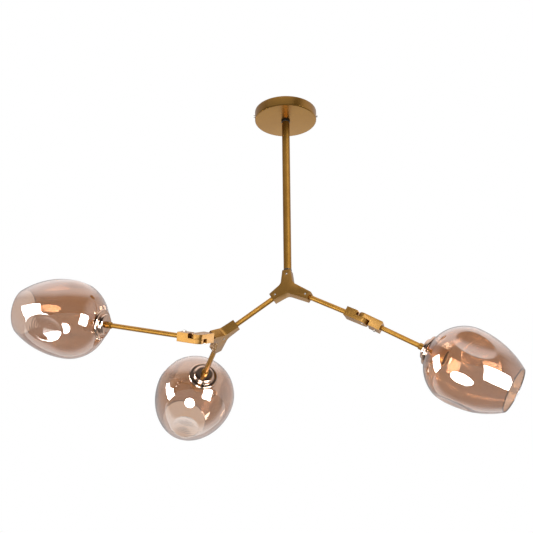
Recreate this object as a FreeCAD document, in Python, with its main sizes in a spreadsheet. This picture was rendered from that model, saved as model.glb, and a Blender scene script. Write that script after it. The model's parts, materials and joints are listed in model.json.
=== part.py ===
import FreeCAD, Part
import math
import os
from types import SimpleNamespace

import Sketcher

# Ceiling light: a round canopy, a down rod, two three-legged hubs, thin brass arms with
# two half-lap elbows, and three stepped caps that each hold a dented glass shade.
# Millimetres and degrees. The origin is the middle of the canopy's rim, on the ceiling,
# with Z up and X along the mounting bracket.

SIZES = {
    # Fits and general values
    "swivel_play": 0.06,
    "seat_play": 0.05,
    "cut_overrun": 1.0,
    "edge_break": 0.6,
    # Mounting bracket
    "bracket_width": 22.0,
    "bracket_sheet": 2.0,
    "bracket_ear_drop": 13.0,
    "bracket_end_gap": 0.5,
    "bracket_slot_spacing": 70.0,
    "bracket_slot_width": 5.0,
    "bracket_slot_length": 16.0,
    # Canopy and its side screws
    "canopy_radius": 60.0,
    "canopy_depth": 20.0,
    "canopy_wall": 1.2,
    "canopy_edge": 1.6,
    "side_screw_radius": 1.9,
    "side_screw_drop": 9.0,
    "side_screw_reach": 6.0,
    "side_screw_head_radius": 3.4,
    "side_screw_head": 2.4,
    # Nipple, its nuts and the terminal block
    "nipple_radius": 5.0,
    "nipple_bore": 3.6,
    "nipple_into_rod": 12.0,
    "nut_flats": 16.0,
    "nut_height": 4.0,
    "terminal_length": 13.0,
    "terminal_width": 20.0,
    "terminal_height": 11.0,
    "terminal_hole": 1.6,
    "terminal_pitch": 6.4,
    # Rod and its two black washers
    "rod_radius": 7.5,
    "rod_length": 329.5,
    "rod_wall": 1.3,
    "rod_plug": 15.0,
    "washer_height": 4.0,
    "top_washer_radius": 8.7,
    "bottom_washer_radius": 8.1,
    # Swivel stem in the rod's lower end, as thick as the arms
    "stem_bore": 3.0,
    "stem_into_hub": 15.0,
    "stem_groove_depth": 0.8,
    "stem_groove_width": 4.6,
    # Hubs
    "hub_thickness": 18.0,
    "hub_short_leg": 35.5,
    "hub_long_leg": 51.0,
    "hub_leg_width": 16.0,
    "hub_valley": 13.5,
    "hub_valley_round": 13.0,
    "hub_leg_drop": 31.5,
    "hub_wire_bore": 3.4,
    "hub_screw_inset": 8.5,
    "hub_screw_radius": 2.0,
    "hub_screw_recess": 0.5,
    "back_screw_radius": 2.4,
    "back_screw_depth": 4.0,
    "back_screw_proud": 0.5,
    "hex_share": 0.55,
    "hex_depth": 1.6,
    # Arm tubes: the length that shows, and how far each end goes in
    "tube_radius": 4.75,
    "tube_wall": 1.0,
    "tube_seat": 14.0,
    "inner_arm": 84.0,
    "elbow_nipple": 6.0,
    "left_arm": 150.0,
    "lower_arm": 86.0,
    "right_arm": 80.0,
    # Elbows: half a block, half a tongue, around a pivot
    "elbow_reach": 37.5,
    "elbow_width": 24.0,
    "elbow_thickness": 18.0,
    "elbow_tongue_gap": 0.2,
    "elbow_end_gap": 2.2,
    "elbow_wire_bore": 2.6,
    "pivot_radius": 2.6,
    "pivot_head_radius": 4.6,
    "pivot_head": 2.6,
    "pivot_head_sink": 3.0,
    "elbow_screw_inset": 9.5,
    "elbow_screw_radius": 1.9,
    "elbow_screw_head_radius": 2.9,
    "elbow_screw_proud": 3.6,
    # Collar at the lamp's end of an arm
    "collar_radius": 6.5,
    "collar_length": 10.0,
    "collar_floor": 1.6,
    "collar_spigot_radius": 4.4,
    "collar_spigot": 6.6,
    "collar_screw_radius": 1.5,
    "collar_screw_inset": 4.2,
    # Stepped cap
    "cap_wall": 1.2,
    "cap_dome_radius": 20.5,
    "cap_dome_height": 7.5,
    "cap_dome_round": 6.0,
    "cap_flange_radius": 28.5,
    "cap_flange_round": 3.6,
    "cap_glass_gap": 0.35,
    # Gasket, socket and ring nut
    "gasket_height": 2.5,
    "gasket_radius": 23.0,
    "socket_radius": 17.0,
    "socket_length": 44.0,
    "socket_bore": 13.3,
    "socket_bore_depth": 27.0,
    "ring_radius": 21.0,
    "ring_height": 5.0,
    # Dented glass shade
    "shade_radius": 76.5,
    "shade_lip": 0.5,
    "shade_length": 178.0,
    "shade_mouth_radius": 44.5,
    "shade_wall": 2.0,
    "shade_hole_radius": 17.8,
    "shade_seat_radius": 24.0,
    "dent_height": 93.0,
    "dent_floor": 64.8,
    "dent_long_curve": 190.0,
    "dent_cross_curve": 55.0,
    "dent_round": 8.0,
    # How the light is set: turns about its own tubes and folds of its elbows
    "hub_turn": -16.0,
    "branch_roll": 76.4,
    "left_elbow_roll": -47.6,
    "left_elbow_fold": 84.0,
    "right_elbow_roll": 93.8,
    "right_elbow_fold": 11.5,
    "left_lamp_roll": 19.5,
    "lower_lamp_roll": 109.0,
    "right_lamp_roll": 3.8,
}
DENTS = 3
HEX_SIDES = 6

size = SimpleNamespace(**SIZES)
doc = FreeCAD.newDocument("ceiling_light")
Vector = FreeCAD.Vector
X_AXIS, Y_AXIS, Z_AXIS = Vector(1, 0, 0), Vector(0, 1, 0), Vector(0, 0, 1)
subparts = []


def fill_sheet():
    """Put every size in the sheet, one row each, under its own name."""
    sheet = doc.addObject("Spreadsheet::Sheet", "dim")
    for row, (name, value) in enumerate(SIZES.items(), start=1):
        sheet.set(f"A{row}", name)
        sheet.set(f"B{row}", str(value))
        sheet.setAlias(f"B{row}", name)
    doc.recompute()


def bind(thing, **rules):
    """Tie properties of an object to the sheet: a rule is a formula in sheet names."""
    for name, rule in rules.items():
        thing.setExpression(name.replace("__", "."), rule)


def flat_sketch(body, role, name):
    """A sketch on one of the body's own origin planes."""
    sketch = body.newObject("Sketcher::SketchObject", name)
    plane = next(item for item in body.Origin.OriginFeatures if item.Role == role)
    sketch.AttachmentSupport = [(plane, "")]
    sketch.MapMode = "FlatFace"
    return sketch


def hold(sketch, kind, element, point, rule, start):
    """Hold one coordinate of a sketch point by a formula, or on the axis where it is zero."""
    if rule == "0":
        axis = -2 if kind == "DistanceX" else -1
        sketch.addConstraint(Sketcher.Constraint("PointOnObject", element, point, axis))
        return
    index = sketch.addConstraint(Sketcher.Constraint(kind, -1, 1, element, point, start))
    sketch.setExpression(f"Constraints[{index}]", rule)


def polygon(sketch, corners):
    """A closed outline whose corners are pairs of formulas."""
    first = sketch.GeometryCount
    ring = [Vector(math.cos(math.tau * step / len(corners)), math.sin(math.tau * step / len(corners)), 0)
            for step in range(len(corners))]
    for here, there in zip(ring, ring[1:] + ring[:1]):
        sketch.addGeometry(Part.LineSegment(here, there), False)
    for step in range(len(corners)):
        following = (step + 1) % len(corners)
        sketch.addConstraint(Sketcher.Constraint("Coincident", first + step, 2, first + following, 1))
    for step, (across, up) in enumerate(corners):
        hold(sketch, "DistanceX", first + step, 1, across, ring[step].x)
        hold(sketch, "DistanceY", first + step, 1, up, ring[step].y)


def circle(sketch, radius, across="0", up="0"):
    """A circle whose radius and middle are formulas."""
    element = sketch.addGeometry(Part.Circle(Vector(1, 1, 0), Z_AXIS, 1), False)
    index = sketch.addConstraint(Sketcher.Constraint("Radius", element, 1))
    sketch.setExpression(f"Constraints[{index}]", radius)
    hold(sketch, "DistanceX", element, 3, across, 1)
    hold(sketch, "DistanceY", element, 3, up, 1)


def new_body(label):
    body = doc.addObject("PartDesign::Body", label)
    body.Label = label
    return body


def turn(body, outline, name="turned"):
    """Spin an outline, pairs of radius and height, about the body's Z axis."""
    sketch = flat_sketch(body, "XZ_Plane", f"{body.Name}_{name}_outline")
    polygon(sketch, outline)
    feature = body.newObject("PartDesign::Revolution", f"{body.Name}_{name}")
    feature.Profile = sketch
    feature.ReferenceAxis = (sketch, ["V_Axis"])
    feature.Angle = 360
    return feature


def drill(body, name, radius, length, start=None, axis=Z_AXIS, angle="0"):
    """Drill a round hole from a starting point, along Z tilted by an angle about an axis."""
    hole = body.newObject("PartDesign::SubtractiveCylinder", f"{body.Name}_{name}")
    hole.Angle = 360
    hole.Placement = FreeCAD.Placement(Vector(), FreeCAD.Rotation(axis, 1))
    bind(hole, Radius=radius, Height=length, Placement__Rotation__Angle=angle)
    for coordinate, rule in (start or {}).items():
        hole.setExpression(f"Placement.Base.{coordinate}", rule)
    return hole


def round_rings(body, name, radius, rings):
    """Round the circular edges of a turned body that lie at given radii and heights."""
    doc.recompute()
    base = body.Tip
    names = []
    for number, edge in enumerate(base.Shape.Edges, start=1):
        if not hasattr(edge.Curve, "Radius"):
            continue
        for ring_radius, height in rings:
            near = abs(edge.Curve.Radius - ring_radius) + abs(edge.Curve.Center.z - height)
            if near < size.seat_play:
                names.append(f"Edge{number}")
    fillet = body.newObject("PartDesign::Fillet", f"{body.Name}_{name}")
    fillet.Base = (base, names)
    bind(fillet, Radius=radius)
    return fillet


def round_uprights(body, name, radius, places):
    """Round the straight edges along Y that pass through given points of the XZ plane."""
    doc.recompute()
    base = body.Tip
    names = []
    for number, edge in enumerate(base.Shape.Edges, start=1):
        ends = edge.Vertexes
        if len(ends) != 2 or abs(ends[0].X - ends[1].X) + abs(ends[0].Z - ends[1].Z) > size.seat_play:
            continue
        if any(math.hypot(ends[0].X - across, ends[0].Z - up) < size.seat_play for across, up in places):
            names.append(f"Edge{number}")
    fillet = body.newObject("PartDesign::Fillet", f"{body.Name}_{name}")
    fillet.Base = (base, names)
    bind(fillet, Radius=radius)
    return fillet


def keep(thing, pose=None):
    """List a finished sub-part, set in its place."""
    if pose is not None:
        thing.Placement = pose
    subparts.append(thing)
    return thing


def pose_along(origin, direction, side):
    """A placement whose Z follows a direction and whose X lies away from a side."""
    return FreeCAD.Placement(origin, FreeCAD.Rotation(side * -1, side.cross(direction), direction, "ZXY"))


def leaning(degrees):
    """A direction in the hub's plate, this many degrees below its X axis."""
    lean = math.radians(degrees)
    return Vector(math.cos(lean), 0, -math.sin(lean))


# Where each piece stands

def set_places():
    """Work out the places of hubs, arms, elbows and lamps from the sizes and turns."""
    spot = SimpleNamespace()
    right_leg = leaning(size.hub_leg_drop)
    left_leg = leaning(180 - size.hub_leg_drop)
    rod_foot = size.canopy_depth + size.washer_height + size.rod_length
    spot.main = FreeCAD.Placement(
        Vector(0, 0, -rod_foot - size.washer_height - size.hub_short_leg),
        FreeCAD.Rotation(Z_AXIS, size.hub_turn))
    spot.main_back = spot.main.Rotation.multVec(Y_AXIS)
    spot.right = spot.main.Rotation.multVec(right_leg)
    spot.left = spot.main.Rotation.multVec(left_leg)
    # The branch hub hangs on the left inner arm by its own short side leg.
    joined = FreeCAD.Rotation(left_leg.cross(Y_AXIS) * -1, Y_AXIS, left_leg, "ZYX")
    held = FreeCAD.Rotation(spot.main_back.cross(spot.left * -1), spot.main_back, spot.left * -1, "ZYX")
    rolled = FreeCAD.Rotation(spot.left, size.branch_roll)
    branch_middle = spot.main.Base + spot.left * (2 * size.hub_short_leg + size.inner_arm)
    spot.branch = FreeCAD.Placement(branch_middle, rolled * held * joined.inverted())
    spot.branch_back = spot.branch.Rotation.multVec(Y_AXIS)
    spot.nipple = spot.branch.Rotation.multVec(Z_AXIS)
    spot.lower = spot.branch.Rotation.multVec(right_leg)
    # Elbows: the pivot's axis is the hub's back direction, rolled about the arm.
    spot.left_pivot = branch_middle + spot.nipple * (
        size.hub_short_leg + size.elbow_nipple + size.elbow_reach)
    spot.left_axis = FreeCAD.Rotation(spot.nipple, size.left_elbow_roll).multVec(spot.branch_back)
    spot.left_out = FreeCAD.Rotation(spot.left_axis, size.left_elbow_fold).multVec(spot.nipple)
    spot.right_pivot = spot.main.Base + spot.right * (
        size.hub_long_leg + size.inner_arm + size.elbow_reach)
    spot.right_axis = FreeCAD.Rotation(spot.right, size.right_elbow_roll).multVec(spot.main_back)
    spot.right_out = FreeCAD.Rotation(spot.right_axis, size.right_elbow_fold).multVec(spot.right)
    # Lamps: each starts where its collar meets its cap.
    spot.left_lamp = spot.left_pivot + spot.left_out * (
        size.elbow_reach + size.left_arm + size.collar_length)
    spot.right_lamp = spot.right_pivot + spot.right_out * (
        size.elbow_reach + size.right_arm + size.collar_length)
    spot.lower_lamp = branch_middle + spot.lower * (
        size.hub_long_leg + size.lower_arm + size.collar_length)
    return spot


# Ceiling end

def make_bracket():
    """A crossbar against the ceiling, with two slots, a middle hole and a drilled ear at each end."""
    body = new_body("mounting_bracket")
    reach = ("(sqrt((dim.canopy_radius - dim.canopy_wall - dim.bracket_end_gap)^2"
             " - (dim.bracket_width / 2)^2))")
    inside = f"({reach} - dim.bracket_sheet)"
    side = flat_sketch(body, "XZ_Plane", "bracket_side")
    polygon(side, [
        (reach, "0"), (reach, "-dim.bracket_ear_drop"), (inside, "-dim.bracket_ear_drop"),
        (inside, "-dim.bracket_sheet"), ("-" + inside, "-dim.bracket_sheet"),
        ("-" + inside, "-dim.bracket_ear_drop"), ("-" + reach, "-dim.bracket_ear_drop"), ("-" + reach, "0")])
    bar = body.newObject("PartDesign::Pad", "bracket_bar")
    bar.Profile = side
    bar.SideType = "Symmetric"
    bind(bar, Length="dim.bracket_width")
    slots = flat_sketch(body, "XY_Plane", "bracket_slots")
    for way in ("", "-"):
        middle = f"{way}dim.bracket_slot_spacing / 2"
        half = "(dim.bracket_slot_length - dim.bracket_slot_width) / 2"
        for end in ("+", "-"):
            circle(slots, "dim.bracket_slot_width / 2", f"{middle} {end} {half}")
    doc.recompute()
    ends = body.newObject("PartDesign::Pocket", "bracket_slot_ends")
    ends.Profile = slots
    ends.AllowMultiFace = True
    ends.SideType = "Symmetric"
    bind(ends, Length="4 * dim.bracket_sheet")
    for way, word in (("", "right"), ("-", "left")):
        lane = flat_sketch(body, "XY_Plane", f"bracket_slot_{word}")
        middle = f"{way}dim.bracket_slot_spacing / 2"
        half = "(dim.bracket_slot_length - dim.bracket_slot_width) / 2"
        wide = "dim.bracket_slot_width / 2"
        polygon(lane, [(f"{middle} + {half}", wide), (f"{middle} - {half}", wide),
                       (f"{middle} - {half}", "-" + wide), (f"{middle} + {half}", "-" + wide)])
        cut = body.newObject("PartDesign::Pocket", f"bracket_slot_{word}_lane")
        cut.Profile = lane
        cut.SideType = "Symmetric"
        bind(cut, Length="4 * dim.bracket_sheet")
    drill(body, "nipple_hole", "dim.nipple_radius + dim.seat_play", "4 * dim.bracket_sheet",
          {"z": "-2 * dim.bracket_sheet"})
    drill(body, "ear_holes", "dim.side_screw_radius + dim.seat_play", "2 * dim.canopy_radius",
          {"x": "-dim.canopy_radius", "z": "-dim.side_screw_drop"}, Y_AXIS, "90")
    keep(body)


def make_canopy():
    """A flat round cup, open to the ceiling, with a softly rounded lower edge."""
    body = new_body("canopy")
    turn(body, [
        ("dim.nipple_radius + dim.seat_play", "-dim.canopy_depth"),
        ("dim.canopy_radius", "-dim.canopy_depth"),
        ("dim.canopy_radius", "0"), ("dim.canopy_radius - dim.canopy_wall", "0"),
        ("dim.canopy_radius - dim.canopy_wall", "-dim.canopy_depth + dim.canopy_wall"),
        ("dim.nipple_radius + dim.seat_play", "-dim.canopy_depth + dim.canopy_wall")])
    round_rings(body, "lower_edge", "dim.canopy_edge", [(size.canopy_radius, -size.canopy_depth)])
    drill(body, "screw_holes", "dim.side_screw_radius + dim.seat_play",
          "2 * (dim.canopy_radius + dim.cut_overrun)",
          {"x": "-dim.canopy_radius - dim.cut_overrun", "z": "-dim.side_screw_drop"}, Y_AXIS, "90")
    keep(body)


def make_side_screws():
    """Two round-headed screws through the canopy's wall into the bracket's ears."""
    screws = []
    for number, way in enumerate((1, -1), start=1):
        shank = doc.addObject("Part::Cylinder", f"side_screw_shank_{number}")
        bind(shank, Radius="dim.side_screw_radius", Height="dim.side_screw_reach")
        head = doc.addObject("Part::Cone", f"side_screw_head_{number}")
        bind(head, Radius1="dim.side_screw_head_radius",
             Radius2="dim.side_screw_head_radius - dim.edge_break", Height="dim.side_screw_head")
        for piece, start in ((shank, size.canopy_radius - size.side_screw_reach), (head, size.canopy_radius)):
            piece.Placement = FreeCAD.Placement(
                Vector(way * start, 0, -size.side_screw_drop), FreeCAD.Rotation(Y_AXIS, way * 90))
        screw = doc.addObject("Part::Fuse", f"side_screw_{number}")
        screw.Base, screw.Tool = shank, head
        screws.append(screw)
    group = doc.addObject("Part::Compound", "canopy_side_screws")
    group.Links = screws
    keep(group)


def make_nipple():
    """The hollow threaded nipple that carries the rod."""
    body = new_body("canopy_nipple")
    foot = "-dim.canopy_depth - dim.washer_height - dim.nipple_into_rod"
    turn(body, [("dim.nipple_bore", foot), ("dim.nipple_radius", foot),
                ("dim.nipple_radius", "-dim.seat_play"), ("dim.nipple_bore", "-dim.seat_play")])
    keep(body)


def make_nuts():
    """Two thin nuts, one under the bracket and one on the canopy's floor."""
    nuts = []
    floor = size.canopy_depth - size.canopy_wall
    for number, top in enumerate((size.bracket_sheet, floor - size.nut_height), start=1):
        block = doc.addObject("Part::Prism", f"nut_block_{number}")
        block.Polygon = HEX_SIDES
        bind(block, Circumradius="dim.nut_flats / 2 / cos(30)", Height="dim.nut_height")
        thread = doc.addObject("Part::Cylinder", f"nut_thread_{number}")
        bind(thread, Radius="dim.nipple_radius + dim.seat_play", Height="dim.nut_height")
        nut = doc.addObject("Part::Cut", f"nut_{number}")
        nut.Base, nut.Tool = block, thread
        nut.Placement = FreeCAD.Placement(Vector(0, 0, -top - size.nut_height), FreeCAD.Rotation())
        nuts.append(nut)
    group = doc.addObject("Part::Compound", "nipple_nuts")
    group.Links = nuts
    keep(group)


def make_terminal_block():
    """A three-pole terminal block under the bracket, beside the nipple."""
    body = new_body("terminal_block")
    right = "-dim.nut_flats / 2 / cos(30) - dim.edge_break"
    left = f"{right} - dim.terminal_length"
    outline = flat_sketch(body, "XY_Plane", "terminal_outline")
    polygon(outline, [(right, "dim.terminal_width / 2"), (left, "dim.terminal_width / 2"),
                      (left, "-dim.terminal_width / 2"), (right, "-dim.terminal_width / 2")])
    block = body.newObject("PartDesign::Pad", "terminal_body")
    block.Profile = outline
    block.Reversed = True
    bind(block, Length="dim.terminal_height")
    for pole, word in ((-1, "near"), (0, "middle"), (1, "far")):
        drill(body, f"{word}_pole", "dim.terminal_hole", "2 * dim.canopy_radius",
              {"x": "-2 * dim.canopy_radius + dim.nut_flats / 2", "y": f"{pole} * dim.terminal_pitch",
               "z": "-dim.terminal_height / 2"}, Y_AXIS, "90")
    keep(body, FreeCAD.Placement(Vector(0, 0, -size.bracket_sheet), FreeCAD.Rotation()))


def make_washer(label, radius, inside, top):
    """A black washer round the nipple or the stem."""
    body = new_body(label)
    bore = f"{inside} + dim.seat_play"
    turn(body, [(bore, "-dim.washer_height"), (radius, "-dim.washer_height"), (radius, "0"), (bore, "0")])
    keep(body, FreeCAD.Placement(Vector(0, 0, -top), FreeCAD.Rotation()))


def make_rod():
    """The down rod: a tube with a thicker threaded plug at each end."""
    body = new_body("down_rod")
    top_bore, foot_bore = "dim.nipple_radius + dim.seat_play", "dim.tube_radius + dim.seat_play"
    inside, foot = "dim.rod_radius - dim.rod_wall", "-dim.rod_length"
    turn(body, [
        (top_bore, "0"), ("dim.rod_radius", "0"), ("dim.rod_radius", foot), (foot_bore, foot),
        (foot_bore, f"{foot} + dim.rod_plug"), (inside, f"{foot} + dim.rod_plug"),
        (inside, "-dim.rod_plug"), (top_bore, "-dim.rod_plug")])
    keep(body, FreeCAD.Placement(Vector(0, 0, -size.canopy_depth - size.washer_height), FreeCAD.Rotation()))


def make_stem():
    """The hollow stem on which the hub turns, grooved for the tip of the hub's top set screw."""
    body = new_body("swivel_stem")
    middle = "-dim.washer_height - dim.hub_screw_inset"
    foot = "-dim.washer_height - dim.stem_into_hub"
    floor = "dim.tube_radius - dim.stem_groove_depth"
    turn(body, [
        ("dim.stem_bore", foot), ("dim.tube_radius", foot),
        ("dim.tube_radius", f"{middle} - dim.stem_groove_width / 2"),
        (floor, f"{middle} - dim.stem_groove_width / 2"), (floor, f"{middle} + dim.stem_groove_width / 2"),
        ("dim.tube_radius", f"{middle} + dim.stem_groove_width / 2"),
        ("dim.tube_radius", "dim.rod_plug - dim.edge_break"),
        ("dim.stem_bore", "dim.rod_plug - dim.edge_break")])
    foot_of_rod = size.canopy_depth + size.washer_height + size.rod_length
    keep(body, FreeCAD.Placement(Vector(0, 0, -foot_of_rod), FreeCAD.Rotation()))


# Hubs

def leg_corners(sign, leg):
    """The lower and upper corner at the end of a side leg, as pairs of formulas."""
    along, aside = "cos(dim.hub_leg_drop)", "sin(dim.hub_leg_drop)"
    half = "dim.hub_leg_width / 2"
    lower = (f"{sign}({leg} * {along} - {half} * {aside})", f"-{leg} * {aside} - {half} * {along}")
    upper = (f"{sign}({leg} * {along} + {half} * {aside})", f"-{leg} * {aside} + {half} * {along}")
    return lower, upper


def make_hub(label, pose):
    """A flat three-legged casting, drilled down each leg, with a screw hole near each end."""
    body = new_body(label)
    plate = flat_sketch(body, "XZ_Plane", f"{label}_plate")
    half, top = "dim.hub_leg_width / 2", "dim.hub_short_leg"
    right_low, right_high = leg_corners("", "dim.hub_long_leg")
    left_low, left_high = leg_corners("-", "dim.hub_short_leg")
    shoulder = "(90 - dim.hub_leg_drop) / 2"
    valley = (f"dim.hub_valley * cos({shoulder})", f"dim.hub_valley * sin({shoulder})")
    polygon(plate, [
        right_low, right_high, valley, (half, top), ("-" + half, top),
        ("-" + valley[0], valley[1]), left_high, left_low, ("0", "-dim.hub_valley")])
    pad = body.newObject("PartDesign::Pad", f"{label}_pad")
    pad.Profile = plate
    pad.SideType = "Symmetric"
    bind(pad, Length="dim.hub_thickness")
    lean = math.radians((90 - size.hub_leg_drop) / 2)
    across, up = size.hub_valley * math.cos(lean), size.hub_valley * math.sin(lean)
    round_uprights(body, "valleys", "dim.hub_valley_round",
                   [(across, up), (-across, up), (0, -size.hub_valley)])
    legs = (
        ("top", "dim.hub_short_leg", "0", 0),
        ("left", "dim.hub_short_leg", "-(90 + dim.hub_leg_drop)", -1),
        ("right", "dim.hub_long_leg", "90 + dim.hub_leg_drop", 1))
    for word, leg, tilt, way in legs:
        drill(body, f"{word}_wire_bore", "dim.hub_wire_bore", leg, None, Y_AXIS, tilt)
        sideways = f"{way} * cos(dim.hub_leg_drop)"
        downward = "1" if way == 0 else "-sin(dim.hub_leg_drop)"
        seat_start = f"({leg} - dim.tube_seat - 2 * dim.cut_overrun)"
        drill(body, f"{word}_seat", "dim.tube_radius + dim.swivel_play",
              "dim.tube_seat + 4 * dim.cut_overrun",
              {"x": f"{seat_start} * {sideways}", "z": f"{seat_start} * {downward}"}, Y_AXIS, tilt)
        screw_at = f"({leg} - dim.hub_screw_inset)"
        drill(body, f"{word}_screw_hole", "dim.hub_screw_radius + dim.seat_play", "dim.hub_thickness",
              {"x": f"{screw_at} * {sideways}", "z": f"{screw_at} * {downward}"}, X_AXIS, "90")
    drill(body, "back_screw_hole", "dim.back_screw_radius + dim.seat_play",
          "dim.hub_thickness",
          {"y": "dim.hub_thickness / 2 - dim.back_screw_depth"}, X_AXIS, "-90")
    keep(body, pose)


def grub(name, radius, length, pose, depth="dim.hex_depth"):
    """A headless screw with a hexagon socket in its outer end, which faces Z."""
    shank = doc.addObject("Part::Cylinder", f"{name}_shank")
    bind(shank, Radius=radius, Height=length)
    socket = doc.addObject("Part::Prism", f"{name}_socket")
    socket.Polygon = HEX_SIDES
    bind(socket, Circumradius=f"{radius} * dim.hex_share", Height=f"{depth} + dim.cut_overrun",
         Placement__Base__z=f"{length} - {depth}")
    screw = doc.addObject("Part::Cut", name)
    screw.Base, screw.Tool = shank, socket
    screw.Placement = pose
    return screw


def make_hub_screws(label, pose, tip_radius):
    """The three set screws of a hub, sunk in its front; the tip radius is the top leg's tube or groove."""
    front = FreeCAD.Rotation(X_AXIS, 90)
    length = "dim.hub_thickness / 2 - dim.hub_screw_recess - dim.tube_radius - dim.seat_play"
    top_length = f"dim.hub_thickness / 2 - dim.hub_screw_recess - {tip_radius[0]} - dim.seat_play"
    along = size.hub_long_leg - size.hub_screw_inset
    short = size.hub_short_leg - size.hub_screw_inset
    right, left = leaning(size.hub_leg_drop), leaning(180 - size.hub_leg_drop)
    reach = size.tube_radius + size.seat_play
    top_reach = tip_radius[1] + size.seat_play
    places = (
        ("top", Vector(0, -top_reach, short), top_length),
        ("left", left * short - Y_AXIS * reach, length),
        ("right", right * along - Y_AXIS * reach, length))
    screws = []
    for word, place, span in places:
        local = FreeCAD.Placement(place, front)
        screws.append(grub(f"{label}_{word}", "dim.hub_screw_radius", span, pose * local))
    group = doc.addObject("Part::Compound", label)
    group.Links = screws
    keep(group)


def make_back_screw(label, pose):
    """The round-headed screw in the middle of a hub's back."""
    local = FreeCAD.Placement(
        Vector(0, size.hub_thickness / 2 - size.back_screw_depth, 0), FreeCAD.Rotation(X_AXIS, -90))
    screw = grub(f"{label}_pin", "dim.back_screw_radius",
                 "dim.back_screw_depth + dim.back_screw_proud", pose * local)
    screw.Label = label
    keep(screw)


# Arms and elbows

def make_tube(label, length, origin, direction, side):
    """An arm tube, from its hidden start, along a direction."""
    body = new_body(label)
    ring = flat_sketch(body, "XY_Plane", f"{label}_ring")
    circle(ring, "dim.tube_radius")
    circle(ring, "dim.tube_radius - dim.tube_wall")
    tube = body.newObject("PartDesign::Pad", f"{label}_length")
    tube.Profile = ring
    bind(tube, Length=length)
    keep(body, pose_along(origin, direction, side))


def make_elbow_half(label, pose):
    """Half of an elbow: a drilled block toward +X and a tongue of half thickness round the pivot."""
    body = new_body(label)
    half = "dim.elbow_width / 2"
    shoulder = "(dim.elbow_width / 2 + dim.elbow_end_gap)"
    block_outline = flat_sketch(body, "XY_Plane", f"{label}_block_outline")
    polygon(block_outline, [(shoulder, half), (shoulder, "-" + half),
                            ("dim.elbow_reach", "-" + half), ("dim.elbow_reach", half)])
    block = body.newObject("PartDesign::Pad", f"{label}_block")
    block.Profile = block_outline
    block.SideType = "Symmetric"
    bind(block, Length="dim.elbow_thickness")
    tongue_outline = flat_sketch(body, "XY_Plane", f"{label}_tongue_outline")
    polygon(tongue_outline, [("0", half), ("0", "-" + half),
                             ("dim.elbow_reach", "-" + half), ("dim.elbow_reach", half)])
    tongue = body.newObject("PartDesign::Pad", f"{label}_tongue")
    tongue.Profile = tongue_outline
    bind(tongue, Length="dim.elbow_thickness / 2")
    eye = body.newObject("PartDesign::AdditiveCylinder", f"{label}_eye")
    bind(eye, Radius=half, Height="dim.elbow_thickness / 2")
    eye.Angle = 360
    gap_outline = flat_sketch(body, "XY_Plane", f"{label}_gap_outline")
    polygon(gap_outline, [("-" + shoulder, shoulder), ("-" + shoulder, "-" + shoulder),
                          (shoulder, "-" + shoulder), (shoulder, shoulder)])
    gap = body.newObject("PartDesign::Pocket", f"{label}_gap")
    gap.Profile = gap_outline
    gap.Reversed = True
    bind(gap, Length="dim.elbow_tongue_gap / 2")
    drill(body, "pivot_hole", "dim.pivot_radius + dim.swivel_play",
          "dim.elbow_thickness", {"z": "-dim.cut_overrun"})
    drill(body, "pivot_sink", "dim.pivot_head_radius + dim.swivel_play",
          "dim.pivot_head_sink + dim.cut_overrun", {"z": "dim.elbow_thickness / 2 - dim.pivot_head_sink"})
    drill(body, "tube_seat", "dim.tube_radius + dim.swivel_play", "dim.tube_seat + 2 * dim.cut_overrun",
          {"x": "dim.elbow_reach - dim.tube_seat - dim.cut_overrun"}, Y_AXIS, "90")
    drill(body, "wire_bore", "dim.elbow_wire_bore", "dim.elbow_reach", {"x": shoulder}, Y_AXIS, "90")
    drill(body, "screw_hole", "dim.elbow_screw_radius + dim.seat_play", "dim.elbow_thickness",
          {"x": "dim.elbow_reach - dim.elbow_screw_inset"}, X_AXIS, "180")
    keep(body, pose)


def make_elbow_screw(label, pose):
    """A set screw with a small round head that stands out of the block, opposite the tongue."""
    body = new_body(label)
    face, tip = "dim.elbow_thickness / 2", "dim.tube_radius + dim.seat_play"
    top = f"{face} + dim.elbow_screw_proud"
    head = "dim.elbow_screw_head_radius"
    turn(body, [
        ("0", tip), ("dim.elbow_screw_radius", tip), ("dim.elbow_screw_radius", face), (head, face),
        (head, f"{top} - dim.edge_break"), (f"{head} - dim.edge_break", top), ("0", top)])
    socket = body.newObject("PartDesign::SubtractivePrism", f"{label}_socket")
    socket.Polygon = HEX_SIDES
    bind(socket, Circumradius=f"{head} * dim.hex_share", Height="dim.hex_depth + dim.cut_overrun",
         Placement__Base__z=f"{top} - dim.hex_depth")
    local = FreeCAD.Placement(
        Vector(size.elbow_reach - size.elbow_screw_inset, 0, 0), FreeCAD.Rotation(X_AXIS, 180))
    keep(body, pose * local)


def make_pivot(label, pose):
    """The pivot screw: a head sunk in one tongue and a shank through both."""
    body = new_body(f"{label}_pivot_screw")
    floor = "dim.elbow_thickness / 2 - dim.pivot_head_sink"
    foot = f"-({floor}) - dim.pivot_head + dim.edge_break"
    turn(body, [
        ("0", foot), ("dim.pivot_radius", foot), ("dim.pivot_radius", floor),
        ("dim.pivot_head_radius", floor), ("dim.pivot_head_radius", f"{floor} + dim.pivot_head"),
        ("0", f"{floor} + dim.pivot_head")])
    keep(body, pose)
    nut = new_body(f"{label}_pivot_nut")
    turn(nut, [
        ("dim.pivot_radius + dim.seat_play", f"-({floor}) - dim.pivot_head"),
        ("dim.pivot_head_radius", f"-({floor}) - dim.pivot_head"),
        ("dim.pivot_head_radius", f"-({floor})"), ("dim.pivot_radius + dim.seat_play", f"-({floor})")])
    keep(nut, pose)


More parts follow.
